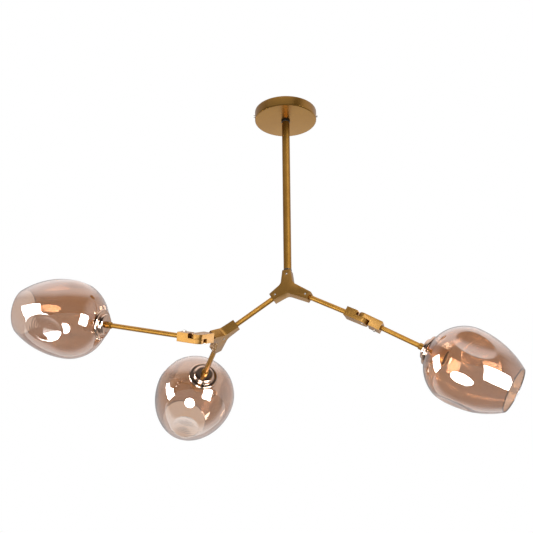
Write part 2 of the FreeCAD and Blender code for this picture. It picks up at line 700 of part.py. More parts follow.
def elbow_poses(pivot, axis, arrive, leave):
    """Placements of an elbow's inner half, whose tongue is on the axis side, and of its outer half."""
    inner = FreeCAD.Placement(pivot, FreeCAD.Rotation(arrive * -1, axis.cross(arrive * -1), axis, "ZXY"))
    outer = FreeCAD.Placement(pivot, FreeCAD.Rotation(leave, axis.cross(leave) * -1, axis * -1, "ZXY"))
    return inner, outer


# Lamps: heights run from the top of the cap toward the shade's mouth

def make_collar(label, pose):
    """A collar with a seat for the arm, and a spigot through the cap into the socket."""
    body = new_body(label)
    seat, wire = "dim.tube_radius + dim.seat_play", "dim.tube_radius - dim.tube_wall - dim.cut_overrun"
    turn(body, [
        (seat, "-dim.collar_length"), ("dim.collar_radius", "-dim.collar_length"),
        ("dim.collar_radius", "0"), ("dim.collar_spigot_radius", "0"),
        ("dim.collar_spigot_radius", "dim.collar_spigot"), (wire, "dim.collar_spigot"),
        (wire, "-dim.collar_floor"), (seat, "-dim.collar_floor")])
    round_rings(body, "outer_edge", "dim.edge_break", [(size.collar_radius, -size.collar_length)])
    drill(body, "screw_hole", "dim.collar_screw_radius + dim.seat_play", "2 * dim.collar_radius",
          {"z": "-dim.collar_length + dim.collar_screw_inset"}, Y_AXIS, "90")
    keep(body, pose)


def make_collar_screw(label, pose):
    """The small set screw in the collar's side."""
    local = FreeCAD.Placement(
        Vector(size.tube_radius + size.seat_play, 0, size.collar_screw_inset - size.collar_length),
        FreeCAD.Rotation(Y_AXIS, 90))
    screw = grub(f"{label}_pin", "dim.collar_screw_radius",
                 "dim.collar_radius - dim.tube_radius - 2 * dim.seat_play", pose * local, "dim.hex_depth / 2")
    screw.Label = label
    keep(screw)


def make_cap(label, pose):
    """A spun cap in two steps, a dome and a flange, open toward the glass."""
    body = new_body(label)
    dome_in, flange_in = "dim.cap_dome_radius - dim.cap_wall", "dim.cap_flange_radius - dim.cap_wall"
    foot = ("dim.cap_dome_height + dim.cap_wall + dim.gasket_height + dim.shade_lip - dim.cap_glass_gap"
            " + sqrt(dim.shade_radius^2 - dim.shade_seat_radius^2)"
            f" - sqrt(dim.shade_radius^2 - ({flange_in})^2)")
    hole = "dim.collar_spigot_radius + dim.seat_play"
    turn(body, [
        (hole, "0"), ("dim.cap_dome_radius", "0"), ("dim.cap_dome_radius", "dim.cap_dome_height"),
        ("dim.cap_flange_radius", "dim.cap_dome_height"), ("dim.cap_flange_radius", foot), (flange_in, foot),
        (flange_in, "dim.cap_dome_height + dim.cap_wall"), (dome_in, "dim.cap_dome_height + dim.cap_wall"),
        (dome_in, "dim.cap_wall"), (hole, "dim.cap_wall")])
    inner_dome, inner_flange = size.cap_dome_radius - size.cap_wall, size.cap_flange_radius - size.cap_wall
    shelf = size.cap_dome_height + size.cap_wall
    round_rings(body, "dome_edge", "dim.cap_dome_round", [(size.cap_dome_radius, 0)])
    round_rings(body, "dome_inside", "dim.cap_dome_round - dim.cap_wall", [(inner_dome, size.cap_wall)])
    round_rings(body, "flange_edge", "dim.cap_flange_round", [(size.cap_flange_radius, size.cap_dome_height)])
    round_rings(body, "flange_inside", "dim.cap_flange_round - dim.cap_wall", [(inner_flange, shelf)])
    keep(body, pose)


def make_gasket(label, pose):
    """The rubber ring between the cap's shelf and the top of the glass."""
    body = new_body(label)
    shelf = "dim.cap_dome_height + dim.cap_wall"
    hole = "dim.shade_hole_radius"
    foot = f"{shelf} + dim.gasket_height"
    turn(body, [(hole, shelf), ("dim.gasket_radius", shelf), ("dim.gasket_radius", foot), (hole, foot)])
    keep(body, pose)


def make_socket(label, pose):
    """The lamp socket: a cup closed at the top round the collar's spigot, open toward the bulb."""
    body = new_body(label)
    hole = "dim.collar_spigot_radius + dim.seat_play"
    top = "(dim.cap_wall + dim.seat_play)"
    foot = f"{top} + dim.socket_length"
    floor = f"{foot} - dim.socket_bore_depth"
    neck = "(dim.socket_radius - dim.cap_dome_round / 2)"
    turn(body, [
        (hole, top), (neck, top), ("dim.socket_radius", f"{top} + dim.cap_dome_round / 2"),
        ("dim.socket_radius", foot), ("dim.socket_bore", foot), ("dim.socket_bore", floor), (hole, floor)])
    keep(body, pose)


def make_ring(label, pose):
    """The ring nut on the socket that clamps the glass against the gasket."""
    body = new_body(label)
    top = "dim.cap_dome_height + dim.cap_wall + dim.gasket_height + dim.shade_wall"
    hole = "dim.socket_radius + dim.seat_play"
    turn(body, [(hole, top), ("dim.ring_radius", top), ("dim.ring_radius", f"{top} + dim.ring_height"),
                (hole, f"{top} + dim.ring_height")])
    foot = (size.cap_dome_height + size.cap_wall + size.gasket_height + size.shade_wall
            + size.ring_height)
    round_rings(body, "lower_edge", "dim.edge_break", [(size.ring_radius, foot)])
    keep(body, pose)


def shade_solid(inset):
    """The shade's outer form, or its inside when inset by the wall: a bubble with three dents."""
    top, foot = inset, size.shade_length + (size.cut_overrun if inset else 0)
    belly = size.shade_radius - inset
    seat = size.shade_seat_radius
    # The bubble's upper part is a ball round the belly's middle, its lower part one long arc.
    middle = size.shade_lip + math.sqrt(size.shade_radius ** 2 - seat ** 2)
    below = size.shade_length - middle
    drop = size.shade_radius - size.shade_mouth_radius
    sweep = (below ** 2 + drop ** 2) / (2 * drop)
    start_height = middle - math.sqrt(belly ** 2 - seat ** 2)
    half_way = math.radians(45)
    lower_radius = sweep - inset
    reach = foot - middle
    mouth = size.shade_radius - sweep + math.sqrt(lower_radius ** 2 - reach ** 2)
    part_way = reach / 2
    bend = size.shade_radius - sweep + math.sqrt(lower_radius ** 2 - part_way ** 2)
    seat_point = Vector(seat, 0, start_height)
    shoulder = Vector(belly * math.sin(half_way), 0, middle - belly * math.cos(half_way))
    side = Vector(belly, 0, middle)
    edges = [
        Part.LineSegment(Vector(0, 0, top), Vector(seat - inset, 0, top)).toShape(),
        Part.LineSegment(Vector(seat - inset, 0, top), seat_point).toShape(),
        Part.Arc(seat_point, shoulder, side).toShape(),
        Part.Arc(side, Vector(bend, 0, middle + part_way), Vector(mouth, 0, foot)).toShape(),
        Part.LineSegment(Vector(mouth, 0, foot), Vector(0, 0, foot)).toShape(),
        Part.LineSegment(Vector(0, 0, foot), Vector(0, 0, top)).toShape()]
    solid = Part.Face(Part.Wire(edges)).revolve(Vector(), Z_AXIS, 360)
    # Each dent is pressed from the side by the rim of a large round ring, longer than wide.
    ring = size.dent_long_curve - size.dent_cross_curve
    far = size.dent_floor + size.dent_long_curve
    for dent in range(DENTS):
        way = math.tau * dent / DENTS
        centre = Vector(far * math.cos(way), far * math.sin(way), size.dent_height)
        across = Vector(-math.sin(way), math.cos(way), 0)
        solid = solid.cut(Part.makeTorus(ring, size.dent_cross_curve + inset, centre, across))
    rims = [edge for edge in solid.Edges if is_dent_rim(edge, size.dent_floor - inset)]
    return solid.makeFillet(size.dent_round - inset, rims)


def is_dent_rim(edge, floor):
    """Whether an edge of the shade lies round a dent: well off the axis and near the dent's height."""
    box = edge.BoundBox
    if box.ZLength < size.shade_wall:
        return False
    middle = box.Center
    across = math.hypot(middle.x, middle.y)
    return across > floor / 2 and abs(middle.z - size.dent_height) < size.shade_radius / 2


def make_shade(label, pose):
    """A blown glass shade of even wall, with a hole at the top and an open mouth."""
    outer, inner = shade_solid(0), shade_solid(size.shade_wall)
    hole = Part.makeCylinder(size.shade_hole_radius, 2 * size.shade_wall + size.cut_overrun,
                             Vector(0, 0, -size.cut_overrun))
    shade = doc.addObject("Part::Feature", label)
    shade.Shape = outer.cut(inner).cut(hole)
    drop = size.cap_dome_height + size.cap_wall + size.gasket_height
    keep(shade, pose * FreeCAD.Placement(Vector(0, 0, drop), FreeCAD.Rotation()))


def make_lamp(side, origin, direction, across, roll):
    """A whole lamp at the end of an arm."""
    pose = pose_along(origin, direction, across)
    make_collar(f"{side}_collar", pose)
    make_collar_screw(f"{side}_collar_screw", pose)
    make_cap(f"{side}_cap", pose)
    make_gasket(f"{side}_gasket", pose)
    make_socket(f"{side}_socket", pose)
    make_ring(f"{side}_ring_nut", pose)
    make_shade(f"{side}_shade", pose * FreeCAD.Placement(Vector(), FreeCAD.Rotation(Z_AXIS, roll)))


def build_light():
    """Make every piece and set it in its place."""
    fill_sheet()
    spot = set_places()
    make_bracket()
    make_canopy()
    make_side_screws()
    make_nipple()
    make_nuts()
    make_terminal_block()
    make_washer("rod_top_washer", "dim.top_washer_radius", "dim.nipple_radius", size.canopy_depth)
    make_rod()
    rod_foot = size.canopy_depth + size.washer_height + size.rod_length
    make_washer("rod_bottom_washer", "dim.bottom_washer_radius", "dim.tube_radius", rod_foot)
    make_stem()
    for label, pose, tip in (
            ("main_hub", spot.main,
             ("(dim.tube_radius - dim.stem_groove_depth)", size.tube_radius - size.stem_groove_depth)),
            ("branch_hub", spot.branch, ("dim.tube_radius", size.tube_radius))):
        make_hub(label, pose)
        make_hub_screws(f"{label}_set_screws", pose, tip)
        make_back_screw(f"{label}_back_screw", pose)

    seat = size.tube_seat
    side_start = size.hub_short_leg - seat
    make_tube("left_inner_arm", "dim.inner_arm + 2 * dim.tube_seat",
              spot.main.Base + spot.left * side_start, spot.left, spot.main_back)
    make_tube("right_inner_arm", "dim.inner_arm + 2 * dim.tube_seat",
              spot.main.Base + spot.right * (size.hub_long_leg - seat), spot.right, spot.main_back)
    make_tube("left_elbow_nipple", "dim.elbow_nipple + 2 * dim.tube_seat",
              spot.branch.Base + spot.nipple * side_start, spot.nipple, spot.branch_back)
    collar_seat = "dim.collar_length - dim.collar_floor - dim.seat_play"
    make_tube("lower_arm", f"dim.lower_arm + dim.tube_seat + {collar_seat}",
              spot.branch.Base + spot.lower * (size.hub_long_leg - seat), spot.lower, spot.branch_back)
    outer_start = size.elbow_reach - seat
    make_tube("left_outer_arm", f"dim.left_arm + dim.tube_seat + {collar_seat}",
              spot.left_pivot + spot.left_out * outer_start, spot.left_out, spot.left_axis)
    make_tube("right_outer_arm", f"dim.right_arm + dim.tube_seat + {collar_seat}",
              spot.right_pivot + spot.right_out * outer_start, spot.right_out, spot.right_axis)

    for side, pivot, axis, arrive, leave in (
            ("left", spot.left_pivot, spot.left_axis * -1, spot.nipple, spot.left_out),
            ("right", spot.right_pivot, spot.right_axis * -1, spot.right, spot.right_out)):
        inner, outer = elbow_poses(pivot, axis, arrive, leave)
        make_elbow_half(f"{side}_elbow_inner_half", inner)
        make_elbow_screw(f"{side}_elbow_inner_screw", inner)
        make_elbow_half(f"{side}_elbow_outer_half", outer)
        make_elbow_screw(f"{side}_elbow_outer_screw", outer)
        make_pivot(f"{side}_elbow", outer)

    make_lamp("left", spot.left_lamp, spot.left_out, spot.left_axis, size.left_lamp_roll)
    make_lamp("lower", spot.lower_lamp, spot.lower, spot.branch_back, size.lower_lamp_roll)
    make_lamp("right", spot.right_lamp, spot.right_out, spot.right_axis, size.right_lamp_roll)


def check_and_write():
    """Stop at any failed object or broken solid, then write one file for each sub-part."""
    doc.recompute()
    for thing in doc.Objects:
        if "Invalid" in thing.State or "Error" in thing.State:
            raise RuntimeError(f"{thing.Label} did not build: {thing.State}")
    os.makedirs("parts", exist_ok=True)
    for piece in subparts:
        shape = piece.Shape
        if shape.isNull() or not shape.isValid() or shape.Volume <= 0:
            raise RuntimeError(f"{piece.Label} has no sound solid")
    for piece in subparts:
        piece.Shape.exportStep(f"parts/{piece.Label}.step")
        print(piece.Label, len(piece.Shape.Solids), round(piece.Shape.Volume, 1))


build_light()
check_and_write()
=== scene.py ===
"""Dresses the branching ceiling light: brass metalwork, polished caps, sockets and dented glass shades."""

import json
import math

import bmesh
import bpy
from bpy.props import FloatProperty, FloatVectorProperty, PointerProperty
from mathutils import Matrix, Vector

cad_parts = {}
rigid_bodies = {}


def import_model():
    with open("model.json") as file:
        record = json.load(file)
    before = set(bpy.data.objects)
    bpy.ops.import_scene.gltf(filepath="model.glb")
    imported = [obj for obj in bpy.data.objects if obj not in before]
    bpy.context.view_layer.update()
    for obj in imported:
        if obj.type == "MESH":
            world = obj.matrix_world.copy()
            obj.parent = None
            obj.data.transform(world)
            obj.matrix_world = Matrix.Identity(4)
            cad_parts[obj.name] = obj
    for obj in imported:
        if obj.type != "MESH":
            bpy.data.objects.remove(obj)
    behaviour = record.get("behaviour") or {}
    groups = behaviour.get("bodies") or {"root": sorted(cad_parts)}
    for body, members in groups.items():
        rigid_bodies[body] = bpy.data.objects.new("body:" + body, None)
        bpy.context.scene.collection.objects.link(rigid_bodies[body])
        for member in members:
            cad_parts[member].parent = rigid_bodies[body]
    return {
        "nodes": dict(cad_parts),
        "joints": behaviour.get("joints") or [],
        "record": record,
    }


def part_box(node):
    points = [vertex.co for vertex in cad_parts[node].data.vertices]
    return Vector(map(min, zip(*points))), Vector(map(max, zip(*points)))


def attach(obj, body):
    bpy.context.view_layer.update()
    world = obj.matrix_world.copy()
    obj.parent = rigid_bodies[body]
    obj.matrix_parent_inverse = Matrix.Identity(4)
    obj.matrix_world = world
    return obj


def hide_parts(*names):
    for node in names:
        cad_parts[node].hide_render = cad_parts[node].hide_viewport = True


bl_info = {
    "name": "Branching Ceiling Light",
    "version": (1, 0, 0),
    "blender": (4, 5, 0),
    "location": "View3D > Sidebar > Ceiling Light",
    "description": "Builds the shades, caps, sockets and metalwork of a branching ceiling light",
    "category": "Object",
}

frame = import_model()
RECORD = frame["record"]
JOINTS = {joint["name"]: joint for joint in frame["joints"]}
MOUNTS = {mount["name"]: mount for mount in RECORD["mounts"]}
LAMPS = ("left", "lower", "right")
DENTS = 3
MM = 0.001
CABLE_HOLE = 4.45 * MM
WHITE = (1.0, 1.0, 1.0)
SHARED = {}


# Settings that a user would change

def length(name, default, description):
    return FloatProperty(name=name, description=description, default=default * MM, min=0.0,
                         subtype="DISTANCE", unit="LENGTH", precision=5)


def degrees(name, default, description):
    return FloatProperty(name=name, description=f"{description}, in degrees", default=default)


def tint(name, default, description):
    return FloatVectorProperty(name=name, description=description, default=default, size=3,
                               min=0.0, max=1.0, subtype="COLOR")


def share(name, default, description, high=1.0):
    return FloatProperty(name=name, description=description, default=default, min=0.0, max=high)


class LightBrass(bpy.types.PropertyGroup):
    gold: tint("Gold", (0.385, 0.195, 0.036), "Satin lacquered brass of the canopy, rod, hubs and arms")
    shadow_gold: tint("Worn gold", (0.31, 0.146, 0.023), "Darker tone in the grain of the brass")
    roughness: share("Roughness", 0.36, "How soft the brass reflects")
    grain: share("Grain size", 1400.0, "Fine grains in a metre of the satin lacquer", 10000.0)


class LightGlass(bpy.types.PropertyGroup):
    smoke: tint("Smoke", (0.56, 0.415, 0.33), "Tint of one wall of the smoked glass")
    smoke_deep: tint("Deep smoke", (0.60, 0.395, 0.25), "Tint where the plated glass is a little thicker")
    # Painted shade and sheen: a darker lilac tint where the glass is seen edge on
    edge_shade_smoke: tint("Edge smoke", (0.42, 0.31, 0.27), "Tint of the glass seen edge on")
    # Painted shade: a dark line at the mouth's rim, standing in for the refraction at the glass's edge
    rim_shade_smoke: tint("Rim smoke", (0.12, 0.085, 0.075), "Tint of the fire-polished mouth")
    ripple: length("Ripple", 5.0, "Distance between the rings of ripples in a dent")
    ripple_reach: length("Ripple reach", 40.0, "How far the ripples spread from the middle of a dent")
    ripple_height: share("Ripple height", 0.16, "Height of the ripples, in millimetres")
    index: share("Refraction", 1.5, "How strongly the glass bends light", 3.0)
    plating: share("Plating", 2.0, "Index of the thin metal plating that mirrors the room", 3.0)


class LightShade(bpy.types.PropertyGroup):
    radius: length("Radius", 76.5, "Widest radius of a shade")
    height: length("Height", 178.0, "From the top of the glass to its mouth")
    mouth: length("Mouth", 44.5, "Radius of the open mouth")
    seat: length("Seat", 24.0, "Radius of the flat top under the cap")
    lip: length("Lip", 0.5, "Step round the flat top")
    hole: length("Hole", 17.8, "Radius of the hole for the socket")
    wall: length("Wall", 2.0, "Thickness of the glass")
    dent_height: length("Dent height", 93.0, "Middle of the dents below the top of the glass")
    dent_floor: length("Dent floor", 64.8, "Distance from the axis to the middle of a dent")
    dent_long_curve: length("Long curve", 190.0, "Radius of a dent's floor along the shade")
    dent_cross_curve: length("Cross curve", 55.0, "Radius of a dent's floor across the shade")
    dent_softness: length("Dent softness", 2.0, "Width of the blend along a dent's rim")
    left_turn: degrees("Left turn", 19.5, "Turn of the left shade's dents")
    lower_turn: degrees("Lower turn", 109.0, "Turn of the lower shade's dents")
    right_turn: degrees("Right turn", 3.8, "Turn of the right shade's dents")


class LightCap(bpy.types.PropertyGroup):
    metal: tint("Metal", (0.50, 0.375, 0.30), "Polished rose nickel of the caps")
    wall: length("Wall", 1.2, "Sheet thickness of a cap")
    dome: length("Dome radius", 20.5, "Radius of the upper step")
    dome_height: length("Dome height", 7.5, "Height of the upper step")
    flange: length("Flange radius", 28.5, "Radius of the lower step")
    foot: length("Foot", 12.5, "Height of the cap's lower rim below its top")
    gasket: length("Gasket", 2.5, "Height of the rubber ring over the glass")


class LightSocket(bpy.types.PropertyGroup):
    shell: tint("Shell", (0.80, 0.58, 0.30), "Gold shell of the lamp sockets")
    # Painted shade: the dark colour painted inside the sockets' bores
    bore_shade: tint("Lining", (0.11, 0.075, 0.05), "Dark inside of the lamp sockets")
    radius: length("Radius", 17.0, "Outer radius of a socket")
    top: length("Top", 1.25, "Top of the socket below the cap's top")
    length: length("Length", 44.0, "Length of a socket")
    bore: length("Bore", 13.3, "Radius of the bulb's thread")
    bore_depth: length("Bore depth", 27.0, "Depth of the bulb's thread")
    thread_pitch: length("Thread pitch", 3.6, "Distance between the thread's turns")


class LightHardware(bpy.types.PropertyGroup):
    nickel: tint("Nickel", (0.78, 0.77, 0.75), "Bright plating of the screws")
    nickel_dirt: tint("Dirt on nickel", (0.55, 0.53, 0.5), "Dull patches of the screws")
    zinc: tint("Zinc", (0.55, 0.56, 0.55), "Plated steel of the bracket, nipple and nuts")
    zinc_crystal: tint("Zinc crystals", (0.66, 0.66, 0.63), "Lighter crystals in the zinc")
    lacquer: tint("Black lacquer", (0.012, 0.011, 0.01), "Washers at the ends of the rod")
    lacquer_dust: tint("Dust on lacquer", (0.05, 0.045, 0.04), "Specks of dust on the washers")
    rubber: tint("Rubber", (0.018, 0.017, 0.016), "Gaskets over the glass")
    rubber_bloom: tint("Bloom", (0.045, 0.043, 0.04), "Pale bloom on the rubber")
    plastic: tint("Plastic", (0.82, 0.8, 0.75), "Terminal block in the canopy")
    plastic_stain: tint("Stained plastic", (0.72, 0.69, 0.6), "Yellowed patches of the terminal block")


class LightCamera(bpy.types.PropertyGroup):
    place: FloatVectorProperty(name="Place", description="Camera position", size=3, subtype="XYZ_LENGTH",
                               unit="LENGTH", default=(-0.04008, -5.0105, -3.1115))
    rise: degrees("Rise", 28.9, "Angle the camera looks up by")
    roll: degrees("Roll", 0.51, "Turn about the view line")
    lens: FloatProperty(name="Lens", description="Focal length on a 36 mm sensor", default=202.7, min=1.0,
                        unit="CAMERA")


class LightStudio(bpy.types.PropertyGroup):
    glint: share("Glints", 26.0, "Brightness of the softboxes that mirror in the glass and the caps", 100.0)
    side_glow: share("Side glow", 1.7, "Brightness of the softbox to the right of the brass", 100.0)
    low_glow: share("Low glow", 2.3, "Brightness of the softboxes below the brass", 100.0)
    front_glow: share("Front glow", 0.36, "Brightness of the wide softbox in front of the brass", 100.0)
    elbow_glow: share("Elbow glow", 2.8, "Brightness of the softboxes that light the elbows", 100.0)
    fill: share("Fill", 0.8, "Strength of the room's even light", 10.0)
    back: share("Back", 0.66, "How bright the room behind the light looks in metal and glass", 2.0)
    edge: share("Edge", 0.46, "How bright the room straight behind looks at the rims of metal and glass", 2.0)
    right: share("Right", 0.8, "How bright the room to the right looks in metal and glass", 2.0)
    above: share("Above", 1.4, "How bright the room over the light looks in metal and glass", 2.0)
    front: share("Front", 0.06, "How bright the room on the viewer's side looks in metal and glass", 2.0)
    floor_drop: FloatProperty(name="Floor drop", description="How far the floor lies below the ceiling",
                              default=3.4, min=0.5, unit="LENGTH")


SETTINGS = (("light_brass", LightBrass), ("light_glass", LightGlass), ("light_shade", LightShade),
            ("light_cap", LightCap), ("light_socket", LightSocket), ("light_hardware", LightHardware),
            ("light_camera", LightCamera), ("light_studio", LightStudio))


# Materials

class Sock:
    """A shader value that can be added, subtracted and multiplied in an expression."""

    def __init__(self, maker, socket):
        self.maker = maker
        self.socket = socket

    def _math(self, operation, first, second):
        return self.maker.node("ShaderNodeMath", {"operation": operation}, {0: first, 1: second})

    def __add__(self, other):
        return self._math("ADD", self, other)

    __radd__ = __add__

    def __sub__(self, other):
        return self._math("SUBTRACT", self, other)

    def __rsub__(self, other):
        return self._math("SUBTRACT", other, self)

    def __mul__(self, other):
        return self._math("MULTIPLY", self, other)

    __rmul__ = __mul__

    def most(self, other):
        return self._math("MAXIMUM", self, other)

    def between(self, low, high):
        """A smooth step from 0 at the low value to 1 at the high one."""
        return self.maker.node("ShaderNodeMapRange", {"interpolation_type": "SMOOTHSTEP"},
                               {"Value": self, "From Min": low, "From Max": high})


class Finish:
    """The nodes of one procedural material, or of the room's world."""

    def __init__(self, name, kind="Material"):
        blocks = bpy.data.worlds if kind == "World" else bpy.data.materials
        self.block = blocks.new(name)
        self.block.use_nodes = True
        self.tree = self.block.node_tree
        self.tree.nodes.clear()
        self.output = self.tree.nodes.new(f"ShaderNodeOutput{kind}")

    def node(self, kind, settings=None, inputs=None, out=0):
        """Add a node, set its settings first and then its sockets, and return one output."""
        made = self.tree.nodes.new(kind)
        for name, value in (settings or {}).items():
            setattr(made, name, value)
        for name, value in (inputs or {}).items():
            socket = made.inputs[name]
            if isinstance(value, Sock):
                self.tree.links.new(value.socket, socket)
            elif socket.type == "RGBA":
                socket.default_value = (*value, 1.0)
            else:
                socket.default_value = value
        return Sock(self, made.outputs[out])

    def vector(self, operation, *values):
        """One Vector Math node; lengths, distances and dot products come out as a number."""
        out = "Vector" if operation in ("SUBTRACT", "MULTIPLY") else "Value"
        return self.node("ShaderNodeVectorMath", {"operation": operation}, dict(enumerate(values)), out)

    def place(self):
        return self.node("ShaderNodeTexCoord", out="Object")

    def turned_place(self, matrix):
        """Object coordinates in a lamp's own directions, so that a pattern follows its axis."""
        start = self.vector("SUBTRACT", self.place(), tuple(matrix.translation))
        parts = [self.vector("DOT_PRODUCT", start, tuple(axis)) for axis in matrix.to_3x3().transposed()]
        return self.node("ShaderNodeCombineXYZ", inputs=dict(zip("XYZ", parts)))

    def stretched(self, place, scale):
        return self.vector("MULTIPLY", place, scale)

    def from_axis(self, place):
        """Distance from the Z axis."""
        return self.vector("LENGTH", self.stretched(place, (1.0, 1.0, 0.0)))

    def parts(self, place):
        """The X, Y and Z of a vector."""
        split = self.node("ShaderNodeSeparateXYZ", inputs={"Vector": place}).socket.node
        return [Sock(self, output) for output in split.outputs]

    def noise(self, place, scale, detail, roughness=0.55):
        look = {"Vector": place, "Scale": scale, "Detail": detail, "Roughness": roughness}
        return self.node("ShaderNodeTexNoise", {"noise_dimensions": "3D"}, look, out="Fac")

    def cells(self, place, scale, out):
        return self.node("ShaderNodeTexVoronoi", {"feature": "F1"}, {"Vector": place, "Scale": scale}, out)

    def ray(self, kind):
        return self.node("ShaderNodeLightPath", out=f"Is {kind} Ray")

    def mix(self, amount, first, second):
        return self.node("ShaderNodeMix", {"data_type": "RGBA"}, {0: amount, 6: first, 7: second}, out=2)

    def bump(self, height, strength, distance):
        return self.node("ShaderNodeBump",
                         inputs={"Height": height, "Strength": strength, "Distance": distance})

    def skin(self, **sockets):
        """A Principled shader, with its sockets' names written with underscores."""
        names = {name.replace("_", " "): value for name, value in sockets.items()}
        return self.node("ShaderNodeBsdfPrincipled", inputs=names)

    def either(self, amount, first, second):
        """The first shader at 0 and the second at 1."""
        return self.node("ShaderNodeMixShader", inputs={0: amount, 1: first, 2: second})

    def done(self, shader):
        """Put a shader on the surface, and hand over the material or world."""
        self.tree.links.new(shader.socket, self.output.inputs["Surface"])
        return self.block


def satin_brass():
    """Lacquered brass with a very fine sprayed grain, a little darker in slow clouds and in specks."""
    brass = bpy.context.scene.light_brass
    finish = Finish("lacquered_brass")
    place = finish.place()
    grain = finish.noise(place, scale=brass.grain, detail=2.0)
    cloud = finish.noise(place, scale=38.0, detail=4.0, roughness=0.6)
    speck = finish.noise(place, scale=brass.grain * 0.35, detail=1.0)
    in_clouds, in_specks = 0.55, 0.25
    worn = cloud.between(0.34, 0.7) * in_clouds + speck.between(0.6, 0.8) * in_specks
    return finish.done(finish.skin(
        Base_Color=finish.mix(worn, brass.gold, brass.shadow_gold), Metallic=1.0,
        Roughness=brass.roughness + grain * 0.07 + cloud * 0.05,
        Normal=finish.bump(grain, strength=0.05, distance=0.06 * MM),
        Coat_Weight=0.05, Coat_Roughness=0.3))


def canopy_brass():
    """The canopy's brass, with faint rings left by the lathe on its flat underside."""
    brass = bpy.context.scene.light_brass
    finish = Finish("canopy_brass")
    place = finish.place()
    away = finish.node("ShaderNodeCombineXYZ", inputs={"X": finish.from_axis(place)})
    rings = finish.noise(away, scale=900.0, detail=2.0)
    grain = finish.noise(place, scale=brass.grain, detail=2.0)
    cloud = finish.noise(place, scale=22.0, detail=3.0)
    in_clouds, in_rings, smoother = 0.45, 0.18, 0.06
    worn = cloud.between(0.3, 0.75) * in_clouds + rings.between(0.55, 0.75) * in_rings
    return finish.done(finish.skin(
        Base_Color=finish.mix(worn, brass.gold, brass.shadow_gold), Metallic=1.0,
        Roughness=brass.roughness - smoother + grain * 0.07,
        Normal=finish.bump(rings * 0.6 + grain, strength=0.05, distance=0.06 * MM),
        Coat_Weight=0.35, Coat_Roughness=0.14))


def cast_brass():
    """The hubs' and elbows' brass: the same lacquer over a slightly pitted casting."""
    brass = bpy.context.scene.light_brass
    finish = Finish("cast_brass")
    place = finish.place()
    pits = finish.cells(place, scale=900.0, out="Distance")
    grain = finish.noise(place, scale=brass.grain * 0.8, detail=2.0)
    cloud = finish.noise(place, scale=55.0, detail=4.0, roughness=0.6)
    in_clouds, smoother = 0.6, 0.02
    worn = cloud.between(0.32, 0.7) * in_clouds
    return finish.done(finish.skin(
        Base_Color=finish.mix(worn, brass.gold, brass.shadow_gold), Metallic=1.0,
        Roughness=brass.roughness - smoother + grain * 0.08,
        Normal=finish.bump(grain + pits.between(0.0, 0.35) * 0.3, strength=0.02, distance=0.05 * MM),
        Coat_Weight=0.45, Coat_Roughness=0.25))


def polished_cap():
    """Mirror-bright dark rose gold with faint wipe marks."""
    metal = bpy.context.scene.light_cap.metal
    warmth = (1.25, 1.12, 1.0)
    warmer = tuple(min(1.0, value * factor) for value, factor in zip(metal, warmth))
    finish = Finish("cap_mirror")
    place = finish.place()
    wipe = finish.noise(finish.stretched(place, (1.0, 3.0, 1.0)), scale=60.0, detail=3.0)
    haze = finish.noise(place, scale=420.0, detail=2.0)
    return finish.done(finish.skin(
        Base_Color=finish.mix(wipe.between(0.35, 0.7), metal, warmer), Metallic=1.0,
        Roughness=0.02 + wipe * 0.04 + haze * 0.02,
        Normal=finish.bump(wipe, strength=0.02, distance=0.2 * MM)))


def bright_screw():
    """Nickelled steel with a little dirt in it."""
    hardware = bpy.context.scene.light_hardware
    finish = Finish("bright_screw")
    dirt = finish.noise(finish.place(), scale=500.0, detail=3.0)
    return finish.done(finish.skin(
        Base_Color=finish.mix(dirt.between(0.35, 0.7), hardware.nickel, hardware.nickel_dirt), Metallic=1.0,
        Roughness=0.14 + dirt * 0.12, Normal=finish.bump(dirt, strength=0.05, distance=0.05 * MM)))


def zinc_plate():
    """Zinc-plated steel with its soft crystal spangle."""
    hardware = bpy.context.scene.light_hardware
    finish = Finish("zinc_plate")
    place = finish.place()
    spangle = finish.cells(place, scale=240.0, out="Color")
    tone = finish.node("ShaderNodeSeparateColor", inputs={"Color": spangle}, out="Red")
    fine = finish.noise(place, scale=900.0, detail=2.0)
    return finish.done(finish.skin(
        Base_Color=finish.mix(tone, hardware.zinc, hardware.zinc_crystal), Metallic=1.0,
        Roughness=0.3 + tone * 0.12 + fine * 0.05,
        Normal=finish.bump(fine, strength=0.05, distance=0.05 * MM)))


def black_lacquer():
    """Gloss black lacquer with a slight orange-peel."""
    hardware = bpy.context.scene.light_hardware
    finish = Finish("black_lacquer")
    place = finish.place()
    peel = finish.noise(place, scale=700.0, detail=2.0)
    dust = finish.noise(place, scale=2600.0, detail=1.0)
    return finish.done(finish.skin(
        Base_Color=finish.mix(dust.between(0.66, 0.75), hardware.lacquer, hardware.lacquer_dust),
        Roughness=0.24 + peel * 0.1, Normal=finish.bump(peel, strength=0.08, distance=0.1 * MM),
        Coat_Weight=0.5))


def black_rubber():
    """Matt rubber with a faint bloom."""
    hardware = bpy.context.scene.light_hardware
    finish = Finish("soft_rubber")
    bloom = finish.noise(finish.place(), scale=160.0, detail=4.0)
    return finish.done(finish.skin(
        Base_Color=finish.mix(bloom, hardware.rubber, hardware.rubber_bloom),
        Roughness=0.72 + bloom * 0.15, Normal=finish.bump(bloom, strength=0.1, distance=0.1 * MM)))


def terminal_plastic():
    """Off-white moulded plastic."""
    hardware = bpy.context.scene.light_hardware
    finish = Finish("moulded_plastic")
    place = finish.place()
    mould = finish.noise(place, scale=1200.0, detail=2.0)
    stain = finish.noise(place, scale=70.0, detail=3.0)
    return finish.done(finish.skin(
        Base_Color=finish.mix(stain.between(0.4, 0.8), hardware.plastic, hardware.plastic_stain),
        Roughness=0.42 + mould * 0.15, Normal=finish.bump(mould, strength=0.12, distance=0.1 * MM)))


